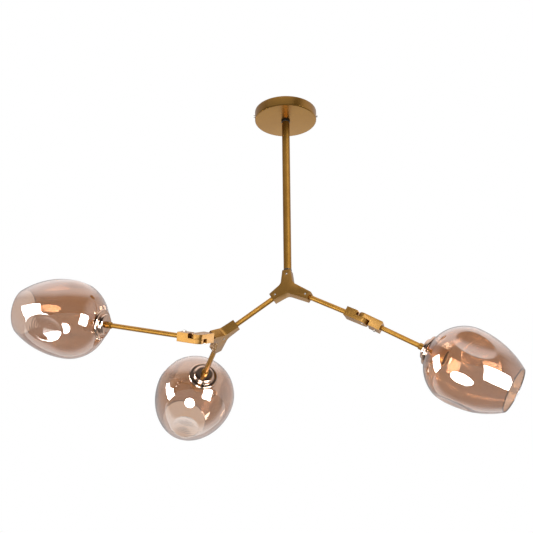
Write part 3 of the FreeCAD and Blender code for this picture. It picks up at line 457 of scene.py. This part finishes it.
def socket_gold(side):
    """Gold shell of a lamp socket, with painted shade darkening the inside of its threaded bore."""
    socket = bpy.context.scene.light_socket
    tarnish, gold_from, gold_to = 0.7, 0.4 * MM, 1.4 * MM
    darker = tuple(value * tarnish for value in socket.shell)
    finish = Finish(f"socket_shell_{side}")
    place = finish.turned_place(lamp_place(side))
    # Painted shade: the bore is coloured dark, less metallic and rougher
    inside = 1.0 - finish.from_axis(place).between(socket.bore + gold_from, socket.bore + gold_to)
    brush = finish.noise(finish.stretched(place, (300.0, 300.0, 2600.0)), scale=1.0, detail=3.0)
    stain = finish.noise(place, scale=90.0, detail=3.0)
    gold = finish.mix(brush.between(0.35, 0.7) * 0.5 + stain * 0.3, socket.shell, darker)
    return finish.done(finish.skin(
        Base_Color=finish.mix(inside, gold, socket.bore_shade), Metallic=1.0 - inside * 0.75,
        Roughness=0.26 + brush * 0.1 + inside * 0.25,
        Normal=finish.bump(brush, strength=0.08, distance=0.05 * MM)))


def smoked_glass(side):
    """Plated smoked glass: tinted rose brown and deeper toward the cap, with painted shade and sheen where it
    is seen edge on, a painted dark line at the mouth's rim, and rings of ripples round each dent."""
    glass, shade = bpy.context.scene.light_glass, bpy.context.scene.light_shade
    finish = Finish(f"smoked_glass_{side}")
    place = finish.turned_place(lamp_place(side))
    down = finish.parts(place)[2]
    mouth = cap_drop() + shade.height
    deep_from, deep_to, rim_shade_from, rim_shade_to = 30 * MM, 190 * MM, mouth - 3.2 * MM, mouth - 1.6 * MM
    streak = finish.noise(finish.stretched(place, (26.0, 26.0, 7.0)), scale=1.0, detail=2.0)
    deep = (1.0 - down.between(deep_from, deep_to)) * 0.5 + streak.between(0.3, 0.75) * 0.5
    colour = finish.mix(deep, glass.smoke, glass.smoke_deep)
    # Painted shade and sheen: the glass turns to the edge tint where it is seen edge on
    edge_on = finish.node("ShaderNodeLayerWeight", inputs={"Blend": 0.5}, out="Facing")
    colour = finish.mix(edge_on.between(0.35, 0.95) * 0.8, colour, glass.edge_shade_smoke)
    # Painted shade: a dark line along the mouth's rim
    colour = finish.mix(down.between(rim_shade_from, rim_shade_to) * 0.9, colour, glass.rim_shade_smoke)
    swell, ripple_from = 1.2, 10 * MM
    wave = finish.noise(finish.stretched(place, (1.0, 1.0, 0.6)), scale=16.0, detail=0.0) * swell
    for dent in range(DENTS):
        angle = math.radians(getattr(shade, f"{side}_turn")) + math.tau * dent / DENTS
        centre = (shade.dent_floor * math.cos(angle), shade.dent_floor * math.sin(angle),
                  cap_drop() + shade.dent_height)
        away = finish.vector("DISTANCE", place, centre)
        rings = finish.node("ShaderNodeMath", {"operation": "SINE"}, {0: away * (math.tau / glass.ripple)})
        wave = wave + rings * (1.0 - away.between(ripple_from, glass.ripple_reach)) * glass.ripple_height
    plated = finish.skin(
        Base_Color=colour, Roughness=0.0, IOR=glass.index, Transmission_Weight=1.0, Coat_Weight=1.0,
        Coat_Roughness=0.0, Coat_IOR=glass.plating, Normal=finish.bump(wave, strength=1.0, distance=1 * MM))
    clear = finish.node("ShaderNodeBsdfTransparent", inputs={"Color": glass.smoke})
    return finish.done(finish.either(finish.ray("Shadow"), plated, clear))


def shared(maker):
    """Make a material once and find it again after that."""
    if maker not in SHARED:
        SHARED[maker] = maker()
    return SHARED[maker]


# What the pieces stand for and where they sit

def slot_of(node):
    return next(part["material_slot"] for part in RECORD["subparts"] if part["node"] == node)


def body_of(node):
    return next(body for body, nodes in RECORD["behaviour"]["bodies"].items() if node in nodes)


def cap_drop():
    """How far the top of the glass lies below the top of the cap."""
    cap = bpy.context.scene.light_cap
    return cap.dome_height + cap.wall + cap.gasket


def lamp_place(side):
    """A lamp's own frame: the middle of its cap's top, X across the elbow's axis and Z toward the mouth."""
    mount = MOUNTS[f"{side}_bulb_socket"]
    socket = bpy.context.scene.light_socket
    along = Vector(mount["axis"]).normalized()
    if side == "lower":
        across = Vector(JOINTS["left_elbow_twist"]["axis"]).cross(along) * -1
    else:
        across = Vector(JOINTS[f"{side}_elbow_fold"]["axis"]) * -1
    across = (across - along * across.dot(along)).normalized()
    middle = socket.top + socket.length - socket.bore_depth / 2
    origin = Vector(mount["pos_m"]) - along * middle
    turn = Matrix((across, along.cross(across), along)).transposed().to_4x4()
    return Matrix.Translation(origin) @ turn


# Mesh helpers

def outline(points, rounds=None):
    """A wire outline in the XZ plane from pairs of radius and height. Rounds gives the radius at each rounded
    corner, by the corner's place in the outline."""
    shape = bmesh.new()
    corners = [shape.verts.new((radius, 0.0, height)) for radius, height in points]
    for first, second in zip(corners, corners[1:]):
        shape.edges.new((first, second))
    for index, reach in sorted((rounds or {}).items(), reverse=True):
        bmesh.ops.bevel(shape, geom=[corners[index]], offset=reach, offset_type="OFFSET", segments=6,
                        profile=0.5, affect="VERTICES", material=-1)
    return shape


def closed(points):
    return list(points) + [points[0]]


def spun(shape, steps):
    """Spin a wire outline about Z into a closed skin."""
    bmesh.ops.spin(shape, geom=shape.verts[:] + shape.edges[:], cent=(0, 0, 0), axis=(0, 0, 1),
                   dvec=(0, 0, 0), angle=math.tau, steps=steps, use_merge=True)
    bmesh.ops.remove_doubles(shape, verts=shape.verts, dist=1e-6)
    bmesh.ops.recalc_face_normals(shape, faces=shape.faces)
    return shape


def sleeve(bore, radius, start, end, rounds, steps):
    """A plain tube from one height to another, with some edges rounded."""
    points = [(bore, start), (radius, start), (radius, end), (bore, end)]
    return spun(outline(closed(points), rounds), steps)


def stand_in(name, shape, node, finish):
    """Turn a bmesh into a smooth piece that stands for a CAD node and rides on the node's body."""
    mesh = bpy.data.meshes.new(name)
    shape.to_mesh(mesh)
    shape.free()
    mesh.materials.append(finish)
    mesh.shade_smooth()
    piece = bpy.data.objects.new(name, mesh)
    bpy.context.scene.collection.objects.link(piece)
    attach(piece, body_of(node))
    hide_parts(node)
    return piece


def make_piece(name, shape, place, node, finish, sharp=35.0):
    """Put a spun shape in its place, with a crease where it turns by more than an angle in degrees."""
    shape.transform(place)
    piece = stand_in(name, shape, node, finish)
    piece.data.set_sharp_from_angle(angle=math.radians(sharp))
    return piece


def eased(node, finish, width):
    """A copy of a CAD node with its sharp edges eased, as a casting's are."""
    nearly_flat, sharp = math.radians(1.0), math.radians(30.0)
    shape = bmesh.new()
    shape.from_mesh(frame["nodes"][node].data)
    bmesh.ops.remove_doubles(shape, verts=shape.verts, dist=2e-6)
    bmesh.ops.dissolve_limit(shape, angle_limit=nearly_flat, verts=shape.verts, edges=shape.edges,
                             use_dissolve_boundaries=False)
    piece = stand_in(f"{node}_metal", shape, node, finish)
    soften = piece.modifiers.new("Eased edges", "BEVEL")
    soften.limit_method = "ANGLE"
    soften.angle_limit = sharp
    soften.width = width
    soften.segments = 3
    soften.use_clamp_overlap = True
    soften.harden_normals = True


# Operators, one for each group of pieces

class LIGHT_OT_canopy(bpy.types.Operator):
    """Spin the canopy cup with its softly rounded lower edge"""
    bl_idname = "light.canopy"
    bl_label = "Canopy"

    def execute(self, context):
        radius, depth, wall, hole = 60.0 * MM, 20.0 * MM, 1.2 * MM, 5.05 * MM
        lower_edge, rim, inner_edge = 2.4 * MM, 0.4 * MM, 1.2 * MM
        points = closed([(hole, -depth), (radius, -depth), (radius, 0.0), (radius - wall, 0.0),
                         (radius - wall, wall - depth), (hole, wall - depth)])
        shape = spun(outline(points, {1: lower_edge, 2: rim, 3: rim, 4: inner_edge}), steps=160)
        make_piece("canopy_cup", shape, Matrix(), "canopy", canopy_brass())
        return {"FINISHED"}


class LIGHT_OT_rod(bpy.types.Operator):
    """Spin the down rod and its two black washers"""
    bl_idname = "light.rod"
    bl_label = "Rod and washers"

    def execute(self, context):
        rod_end, washer_edge = 0.5 * MM, 0.7 * MM
        self.spin_over("down_rod", "rod_tube", rod_end, shared(satin_brass))
        for node in ("rod_top_washer", "rod_bottom_washer"):
            self.spin_over(node, f"{node}_ring", washer_edge, shared(black_lacquer))
        return {"FINISHED"}

    @staticmethod
    def spin_over(node, name, edge, finish):
        """A sleeve as wide and as high as the CAD node that it stands for."""
        bore = 5.0 * MM
        low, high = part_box(node)
        shape = sleeve(bore, (high.x - low.x) / 2, high.z, low.z, {1: edge, 2: edge}, steps=64)
        make_piece(name, shape, Matrix(), node, finish)


class LIGHT_OT_castings(bpy.types.Operator):
    """Ease the edges of the hubs and elbow halves"""
    bl_idname = "light.castings"
    bl_label = "Hubs and elbows"

    def execute(self, context):
        hub_edge, elbow_edge = 0.9 * MM, 0.6 * MM
        for node in ("main_hub", "branch_hub"):
            eased(node, shared(cast_brass), hub_edge)
        for side in ("left", "right"):
            for half in ("inner", "outer"):
                eased(f"{side}_elbow_{half}_half", shared(cast_brass), elbow_edge)
        return {"FINISHED"}


class LIGHT_OT_arms(bpy.types.Operator):
    """Spin the arm tubes with softly broken ends"""
    bl_idname = "light.arms"
    bl_label = "Arms"

    def execute(self, context):
        twists = {"left_inner_arm": "left_arm_twist", "right_inner_arm": "right_arm_twist",
                  "left_elbow_nipple": "left_elbow_twist", "lower_arm": "lower_arm_twist"}
        for node, joint in twists.items():
            self.tube(node, Vector(JOINTS[joint]["pos_m"]), Vector(JOINTS[joint]["axis"]).normalized())
        for side in ("left", "right"):
            place = lamp_place(side)
            self.tube(f"{side}_outer_arm", place.translation, place.to_3x3().col[2].normalized())
        return {"FINISHED"}

    @staticmethod
    def tube(node, start, along):
        """A tube about a line, as long as the CAD node that it stands for."""
        radius, wall, end = 4.75 * MM, 1.0 * MM, 0.25 * MM
        spread = [(vertex.co - start).dot(along) for vertex in frame["nodes"][node].data.vertices]
        shape = sleeve(radius - wall, radius, min(spread), max(spread), {1: end, 2: end}, steps=48)
        turn = Vector((0, 0, 1)).rotation_difference(along).to_matrix().to_4x4()
        make_piece(f"{node}_tube", shape, Matrix.Translation(start) @ turn, node, shared(satin_brass))


class LIGHT_OT_caps(bpy.types.Operator):
    """Spin the stepped caps and the collars over them"""
    bl_idname = "light.caps"
    bl_label = "Caps and collars"

    def execute(self, context):
        for side in LAMPS:
            place = lamp_place(side)
            make_piece(f"{side}_cap_spun", self.cap(context.scene.light_cap), place, f"{side}_cap",
                       shared(polished_cap), sharp=50.0)
            make_piece(f"{side}_collar_turned", self.collar(), place, f"{side}_collar", shared(satin_brass))
        return {"FINISHED"}

    @staticmethod
    def cap(cap):
        """A sheet cap: a dome over a wider flange, with soft steps outside and inside."""
        dome, flange, wall, step, foot = cap.dome, cap.flange, cap.wall, cap.dome_height, cap.foot
        points = closed([
            (CABLE_HOLE, 0.0), (dome, 0.0), (dome, step), (flange, step), (flange, foot),
            (flange - wall, foot), (flange - wall, step + wall), (dome - wall, step + wall),
            (dome - wall, wall), (CABLE_HOLE, wall)])
        rim = 0.4 * MM
        rounds = {1: 6.0 * MM, 2: 0.7 * MM, 3: 3.4 * MM, 4: rim, 5: rim, 6: 2.2 * MM, 8: 4.8 * MM}
        return spun(outline(points, rounds), steps=128)

    @staticmethod
    def collar():
        """A turned collar: a cup for the arm's end over a hollow spigot that goes into the cap."""
        outer, cup, spigot, bore = 6.5 * MM, 4.8 * MM, 4.4 * MM, 2.75 * MM
        top, cup_floor, spigot_end = -10.0 * MM, -1.6 * MM, 6.6 * MM
        points = closed([(cup, top), (outer, top), (outer, 0.0), (spigot, 0.0), (spigot, spigot_end),
                         (bore, spigot_end), (bore, cup_floor), (cup, cup_floor)])
        top_edge, foot_edge = 0.8 * MM, 0.3 * MM
        return spun(outline(points, {1: top_edge, 2: foot_edge}), steps=64)


class LIGHT_OT_sockets(bpy.types.Operator):
    """Spin the lamp sockets with their threaded bores, and the ribbed ring nuts"""
    bl_idname = "light.sockets"
    bl_label = "Sockets and ring nuts"

    def execute(self, context):
        for side in LAMPS:
            place = lamp_place(side)
            make_piece(f"{side}_socket_shell", self.shell(context.scene.light_socket), place,
                       f"{side}_socket", socket_gold(side))
            start = cap_drop() + context.scene.light_shade.wall
            make_piece(f"{side}_ring_nut_ribbed", self.ring_nut(start), place, f"{side}_ring_nut",
                       shared(satin_brass))
        return {"FINISHED"}

    @staticmethod
    def shell(socket):
        """A socket with a chamfered top, a thicker skirt and a round thread cut into its bore."""
        top, foot = socket.top, socket.top + socket.length
        floor, radius, bore, pitch = foot - socket.bore_depth, socket.radius, socket.bore, socket.thread_pitch
        chamfer, skirt, skirt_slope, skirt_wall, mouth = 3.0 * MM, 6.0 * MM, 0.4 * MM, 0.35 * MM, 0.6 * MM
        first_turn, last_turn, crest, foot_edge = 1.6 * MM, 2.0 * MM, 0.75 * MM, 0.5 * MM
        points = [(CABLE_HOLE, top), (radius - chamfer, top), (radius, top + chamfer), (radius, foot - skirt),
                  (radius + skirt_wall, foot - skirt + skirt_slope), (radius + skirt_wall, foot),
                  (bore + mouth, foot), (bore, foot - mouth)]
        height = foot - first_turn
        while height - pitch > floor + last_turn:
            points += [(bore, height), (bore - crest, height - pitch * 0.3), (bore, height - pitch * 0.6)]
            height -= pitch
        points += [(bore, floor), (CABLE_HOLE, floor)]
        return spun(outline(closed(points), {5: foot_edge}), steps=72)

    @staticmethod
    def ring_nut(start):
        """A ring with every fourth strip of its outside pressed in, which leaves ribs for the fingers."""
        bore, radius, height, edge = 17.05 * MM, 21.0 * MM, 5.0 * MM, 0.7 * MM
        strips, every, outside = 96, 4, 0.2 * MM
        shape = sleeve(bore, radius, start, start + height, {2: edge}, strips)
        pressed = []
        for face in shape.faces:
            x, y, _ = face.calc_center_median()
            strip = int((math.atan2(x, y) / math.tau + 1.0) * strips)
            if abs(math.hypot(x, y) - radius) < outside and strip % every == 0:
                pressed.append(face)
        bmesh.ops.inset_individual(shape, faces=pressed, thickness=0.15 * MM, depth=-0.35 * MM)
        return shape


class LIGHT_OT_shades(bpy.types.Operator):
    """Blow the three glass shades: a bubble with an open mouth and three soft dents"""
    bl_idname = "light.shades"
    bl_label = "Glass shades"

    def execute(self, context):
        shade = context.scene.light_shade
        for side in LAMPS:
            turned = Matrix.Rotation(math.radians(getattr(shade, f"{side}_turn")), 4, "Z")
            place = lamp_place(side) @ Matrix.Translation((0, 0, cap_drop())) @ turned
            shape = self.bubble(shade)
            self.press_dents(shape, shade)
            piece = make_piece(f"{side}_shade_glass", shape, place, f"{side}_shade", smoked_glass(side),
                               sharp=80.0)
            self.thicken(piece, shade.wall)
        return {"FINISHED"}

    @staticmethod
    def thicken(piece, thickness):
        """Give the glass its wall, inward from the outside, and round off the wall's edges."""
        wall = piece.modifiers.new("Glass wall", "SOLIDIFY")
        wall.thickness = thickness
        wall.offset = -1.0
        wall.use_even_offset = True
        wall.use_rim = True
        polish = piece.modifiers.new("Fire-polished rim", "BEVEL")
        polish.limit_method = "ANGLE"
        polish.angle_limit = math.radians(50.0)
        polish.width = 0.75 * MM
        polish.segments = 3
        polish.harden_normals = False

    @staticmethod
    def bubble(shade):
        """The round bubble: a flat seat, a ball round the belly and one long arc to the mouth."""
        ball_rows, arc_rows, steps = 54, 46, 240
        middle = shade.lip + math.sqrt(shade.radius ** 2 - shade.seat ** 2)
        below, drop = shade.height - middle, shade.radius - shade.mouth
        sweep = (below ** 2 + drop ** 2) / (2 * drop)
        points = [(shade.hole, 0.0), (0.5 * (shade.hole + shade.seat), 0.0), (shade.seat - shade.lip, 0.0)]
        lean = math.asin(shade.seat / shade.radius)
        for row in range(ball_rows + 1):
            angle = lean + (math.pi / 2 - lean) * row / ball_rows
            points.append((shade.radius * math.sin(angle), middle - shade.radius * math.cos(angle)))
        far = math.asin(below / sweep)
        for row in range(1, arc_rows + 1):
            angle = far * row / arc_rows
            points.append((shade.radius - sweep + sweep * math.cos(angle), middle + sweep * math.sin(angle)))
        return spun(outline(points), steps)

    @staticmethod
    def press_dents(shape, shade):
        """Move each vertex toward the axis as far as the nearest dent presses it, softly at the rim. A dent's
        floor is curved both ways, so how far it presses is found by trying again from each answer."""
        far = shade.dent_floor + shade.dent_long_curve
        ring = shade.dent_long_curve - shade.dent_cross_curve
        blend, half_width, tries = shade.dent_softness, math.radians(40), 8
        for vertex in shape.verts:
            radius = math.hypot(vertex.co.x, vertex.co.y)
            lift = vertex.co.z - shade.dent_height
            if radius < shade.seat or abs(lift) > shade.radius:
                continue
            angle = math.atan2(vertex.co.y, vertex.co.x)
            reach = radius
            for dent in range(DENTS):
                away = (angle - math.tau * dent / DENTS + math.pi) % math.tau - math.pi
                if abs(away) > half_width:
                    continue
                pressed = radius
                for _ in range(tries):
                    side = min(abs(pressed * math.sin(away)), shade.dent_cross_curve)
                    bow = ring + math.sqrt(shade.dent_cross_curve ** 2 - side ** 2)
                    pressed = (far - math.sqrt(max(bow ** 2 - lift ** 2, 0.0))) / math.cos(away)
                near_rim = max(blend - abs(pressed - radius), 0.0) / blend
                reach = min(reach, min(pressed, radius) - near_rim ** 2 * blend / 4)
            vertex.co.x *= reach / radius
            vertex.co.y *= reach / radius
        bmesh.ops.recalc_face_normals(shape, faces=shape.faces)


class LIGHT_OT_hardware(bpy.types.Operator):
    """Give the screws, nuts, bracket, nipples, gaskets and terminal block their finishes"""
    bl_idname = "light.hardware"
    bl_label = "Screws and small hardware"

    def execute(self, context):
        finishes = {"bright_screws": bright_screw(), "plated_steel": zinc_plate(),
                    "black_rubber": black_rubber(), "terminal_plastic": terminal_plastic(),
                    "satin_brass": shared(satin_brass), "black_paint": shared(black_lacquer)}
        for node, thing in frame["nodes"].items():
            finish = finishes.get(slot_of(node))
            if finish is not None:
                thing.data.materials.clear()
                thing.data.materials.append(finish)
        return {"FINISHED"}


class LIGHT_OT_stage(bpy.types.Operator):
    """Set up the floor, the softboxes, the room's light and the camera"""
    bl_idname = "light.stage"
    bl_label = "Studio"

    def execute(self, context):
        studio = context.scene.light_studio
        self.floor(studio)
        self.room(studio)
        mirrored = ("_shade_glass", "_cap_spun")
        mirrors = self.group("mirrors", lambda name: name.endswith(mirrored))
        metals = self.group("satin_metals", lambda name: not name.endswith(mirrored))
        tubes = self.group("rods_and_arms",
                           lambda name: not name.endswith(mirrored) and name not in ("canopy_cup", "floor"))
        elbows = self.group("elbows", lambda name: "_elbow_" in name or name.endswith("_arm_tube"))
        rods = self.group("down_rods", lambda name: name == "rod_tube")
        glint, low, elbow = studio.glint, studio.low_glow, studio.elbow_glow
        self.softbox("octagon_box", (-0.82, -1.35, -2.44), (1.3, 1.3), mirrors, glint)
        self.softbox("right_box", (0.86, -0.98, -1.07), (0.80, 0.92), mirrors, glint)
        self.softbox("left_strip", (-2.60, -0.35, -0.26), (1.2, 1.7), mirrors, glint, through=False)
        self.softbox("brass_box", (1.58, -1.78, 0.49), (1.4, 2.6), tubes, studio.side_glow)
        self.softbox("low_box", (-0.4, -1.9, -2.15), (3.8, 1.8), tubes, low)
        self.softbox("rod_box", (0.3, -2.2, -1.3), (2.0, 1.2), rods, low * 2)
        self.softbox("back_elbow_box", (2.3, 1.1, -0.26), (1.6, 2.0), elbows, elbow * 0.8)
        self.softbox("front_box", (-0.80, -2.10, 0.82), (4.4, 3.6), metals, studio.front_glow)
        self.softbox("left_elbow_box", (-2.3, -0.99, -1.24), (1.7, 2.2), elbows, elbow)
        self.softbox("right_elbow_box", (-0.45, -2.46, -0.16), (1.3, 1.3), elbows, elbow * 1.4)
        self.camera(context)
        return {"FINISHED"}

    @staticmethod
    def group(name, belongs):
        """A collection of the things that a softbox lights, chosen by their names."""
        chosen = bpy.data.collections.new(name)
        for thing in bpy.context.scene.objects:
            if belongs(thing.name):
                chosen.objects.link(thing)
        return chosen

    @staticmethod
    def softbox(name, place, size, receivers, glow, through=True):
        """A softbox that faces the middle of the light. One with equal sides is round, and one that would
        show behind the shades isn't seen through them."""
        aim = Vector((-0.03, 0.04, -0.42))
        width, height = size
        lamp = bpy.data.lights.new(name, "AREA")
        lamp.size = width
        area = width * height
        if width == height:
            lamp.shape = "DISK"
            area *= math.pi / 4
        else:
            lamp.shape = "RECTANGLE"
            lamp.size_y = height
        lamp.energy = glow * math.pi * area
        thing = bpy.data.objects.new(name, lamp)
        thing.location = place
        thing.rotation_euler = (Vector(place) - aim).to_track_quat("Z", "Y").to_euler()
        thing.visible_camera = False
        thing.visible_transmission = through
        thing.light_linking.receiver_collection = receivers
        bpy.context.scene.collection.objects.link(thing)

    @staticmethod
    def floor(studio):
        """A pale floor that keeps shadows, looks white in the camera, in metal and through glass, and can be
        seen through from below."""
        shape = bmesh.new()
        bmesh.ops.create_grid(shape, x_segments=8, y_segments=8, size=16.0)
        mesh = bpy.data.meshes.new("floor")
        shape.to_mesh(mesh)
        shape.free()
        floor = bpy.data.objects.new("floor", mesh)
        floor.location = (0, 0, -studio.floor_drop)
        bpy.context.scene.collection.objects.link(floor)
        grey, pale_grey, glow = (0.3, 0.3, 0.3), (0.33, 0.33, 0.33), 0.8
        mirrored_from, mirrored_to = 1.5, 4.5
        finish = Finish("studio_floor")
        cloud = finish.noise(finish.place(), scale=0.8, detail=2.0)
        depth = finish.parts(finish.place())[1]
        seen = finish.ray("Camera").most(finish.ray("Transmission"))
        seen = seen.most(finish.ray("Glossy") * depth.between(mirrored_from, mirrored_to))
        top = finish.skin(Base_Color=finish.mix(cloud, grey, pale_grey), Roughness=0.8,
                          Emission_Color=WHITE, Emission_Strength=seen * glow)
        clear = finish.node("ShaderNodeBsdfTransparent")
        below = finish.node("ShaderNodeNewGeometry", out="Backfacing")
        mesh.materials.append(finish.done(finish.either(below, top, clear)))

    @staticmethod
    def room(studio):
        """White to the camera and through glass. In metal and glass the room is bright above and to the
        right, softer behind and dark on the viewer's side."""
        ahead, rosy = (0.0, 0.8755, 0.4833), (1.0, 0.94, 0.93)
        room = Finish("studio_room", "World")
        way = room.node("ShaderNodeTexCoord", out="Generated")
        behind = room.vector("DOT_PRODUCT", way, ahead)
        side, _, height = room.parts(way)
        # From front to back, and darker again straight behind
        mirrored = (behind.between(-0.2, 0.3) * (studio.back - studio.front) + studio.front
                    - behind.between(0.86, 0.99) * (studio.back - studio.edge))
        # A little darker to the left
        mirrored = mirrored * (side.between(-0.7, 0.4) * 0.3 + 0.7)
        # Bright above, with a faint band under it, and bright to the right
        mirrored = mirrored.most(height.between(0.56, 0.88) * studio.above)
        mirrored = mirrored.most(height.between(0.40, 0.56) * studio.above * 0.1)
        mirrored = mirrored.most(side.between(0.6, 0.9) * studio.right)
        white = room.ray("Camera").most(room.ray("Transmission"))
        glossy = room.ray("Glossy")
        other = (1.0 - glossy) * studio.fill + glossy * mirrored
        strength = white + (1.0 - white) * other
        colour = room.mix(glossy, WHITE, rosy)
        background = room.node("ShaderNodeBackground", inputs={"Color": colour, "Strength": strength})
        bpy.context.scene.world = room.done(background)

    @staticmethod
    def camera(context):
        """The photograph's viewpoint."""
        settings = context.scene.light_camera
        data = bpy.data.cameras.new("photo_camera")
        data.type = "PERSP"
        data.sensor_width = 36.0
        data.lens = settings.lens
        data.clip_start, data.clip_end = 0.1, 100.0
        rise, roll = math.radians(settings.rise), math.radians(settings.roll)
        right = Vector((1.0, 0.0, 0.0))
        ahead = Vector((0.0, math.cos(rise), math.sin(rise)))
        above = Vector((0.0, -math.sin(rise), math.cos(rise)))
        across = right * math.cos(roll) - above * math.sin(roll)
        upward = above * math.cos(roll) + right * math.sin(roll)
        turn = Matrix((across, upward, -ahead)).transposed().to_4x4()
        thing = bpy.data.objects.new("photo_camera", data)
        thing.matrix_world = Matrix.Translation(Vector(settings.place)) @ turn
        context.scene.collection.objects.link(thing)
        context.scene.camera = thing


OPERATORS = (
    LIGHT_OT_canopy, LIGHT_OT_rod, LIGHT_OT_castings, LIGHT_OT_arms, LIGHT_OT_caps, LIGHT_OT_sockets,
    LIGHT_OT_shades, LIGHT_OT_hardware, LIGHT_OT_stage)


class LIGHT_PT_panel(bpy.types.Panel):
    """Lists the operators that build the light, and its settings"""
    bl_idname = "LIGHT_PT_panel"
    bl_label = "Ceiling Light"
    bl_space_type = "VIEW_3D"
    bl_region_type = "UI"
    bl_category = "Ceiling Light"

    def draw(self, context):
        column = self.layout.column()
        for operator in OPERATORS:
            column.operator(operator.bl_idname)
        for name, group in SETTINGS:
            box = self.layout.box()
            box.label(text=group.__name__)
            for field in group.__annotations__:
                box.prop(getattr(context.scene, name), field)


def register():
    for name, group in SETTINGS:
        bpy.utils.register_class(group)
        setattr(bpy.types.Scene, name, PointerProperty(type=group))
    for operator in OPERATORS:
        bpy.utils.register_class(operator)
    bpy.utils.register_class(LIGHT_PT_panel)


def unregister():
    bpy.utils.unregister_class(LIGHT_PT_panel)
    for operator in reversed(OPERATORS):
        bpy.utils.unregister_class(operator)
    for name, group in reversed(SETTINGS):
        delattr(bpy.types.Scene, name)
        bpy.utils.unregister_class(group)


def main():
    """Register the add-on and build everything in order."""
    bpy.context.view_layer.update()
    register()
    bpy.context.scene.view_settings.view_transform = "Standard"
    for operator in OPERATORS:
        family, name = operator.bl_idname.split(".")
        getattr(getattr(bpy.ops, family), name)()


if __name__ == "__main__":
    main()
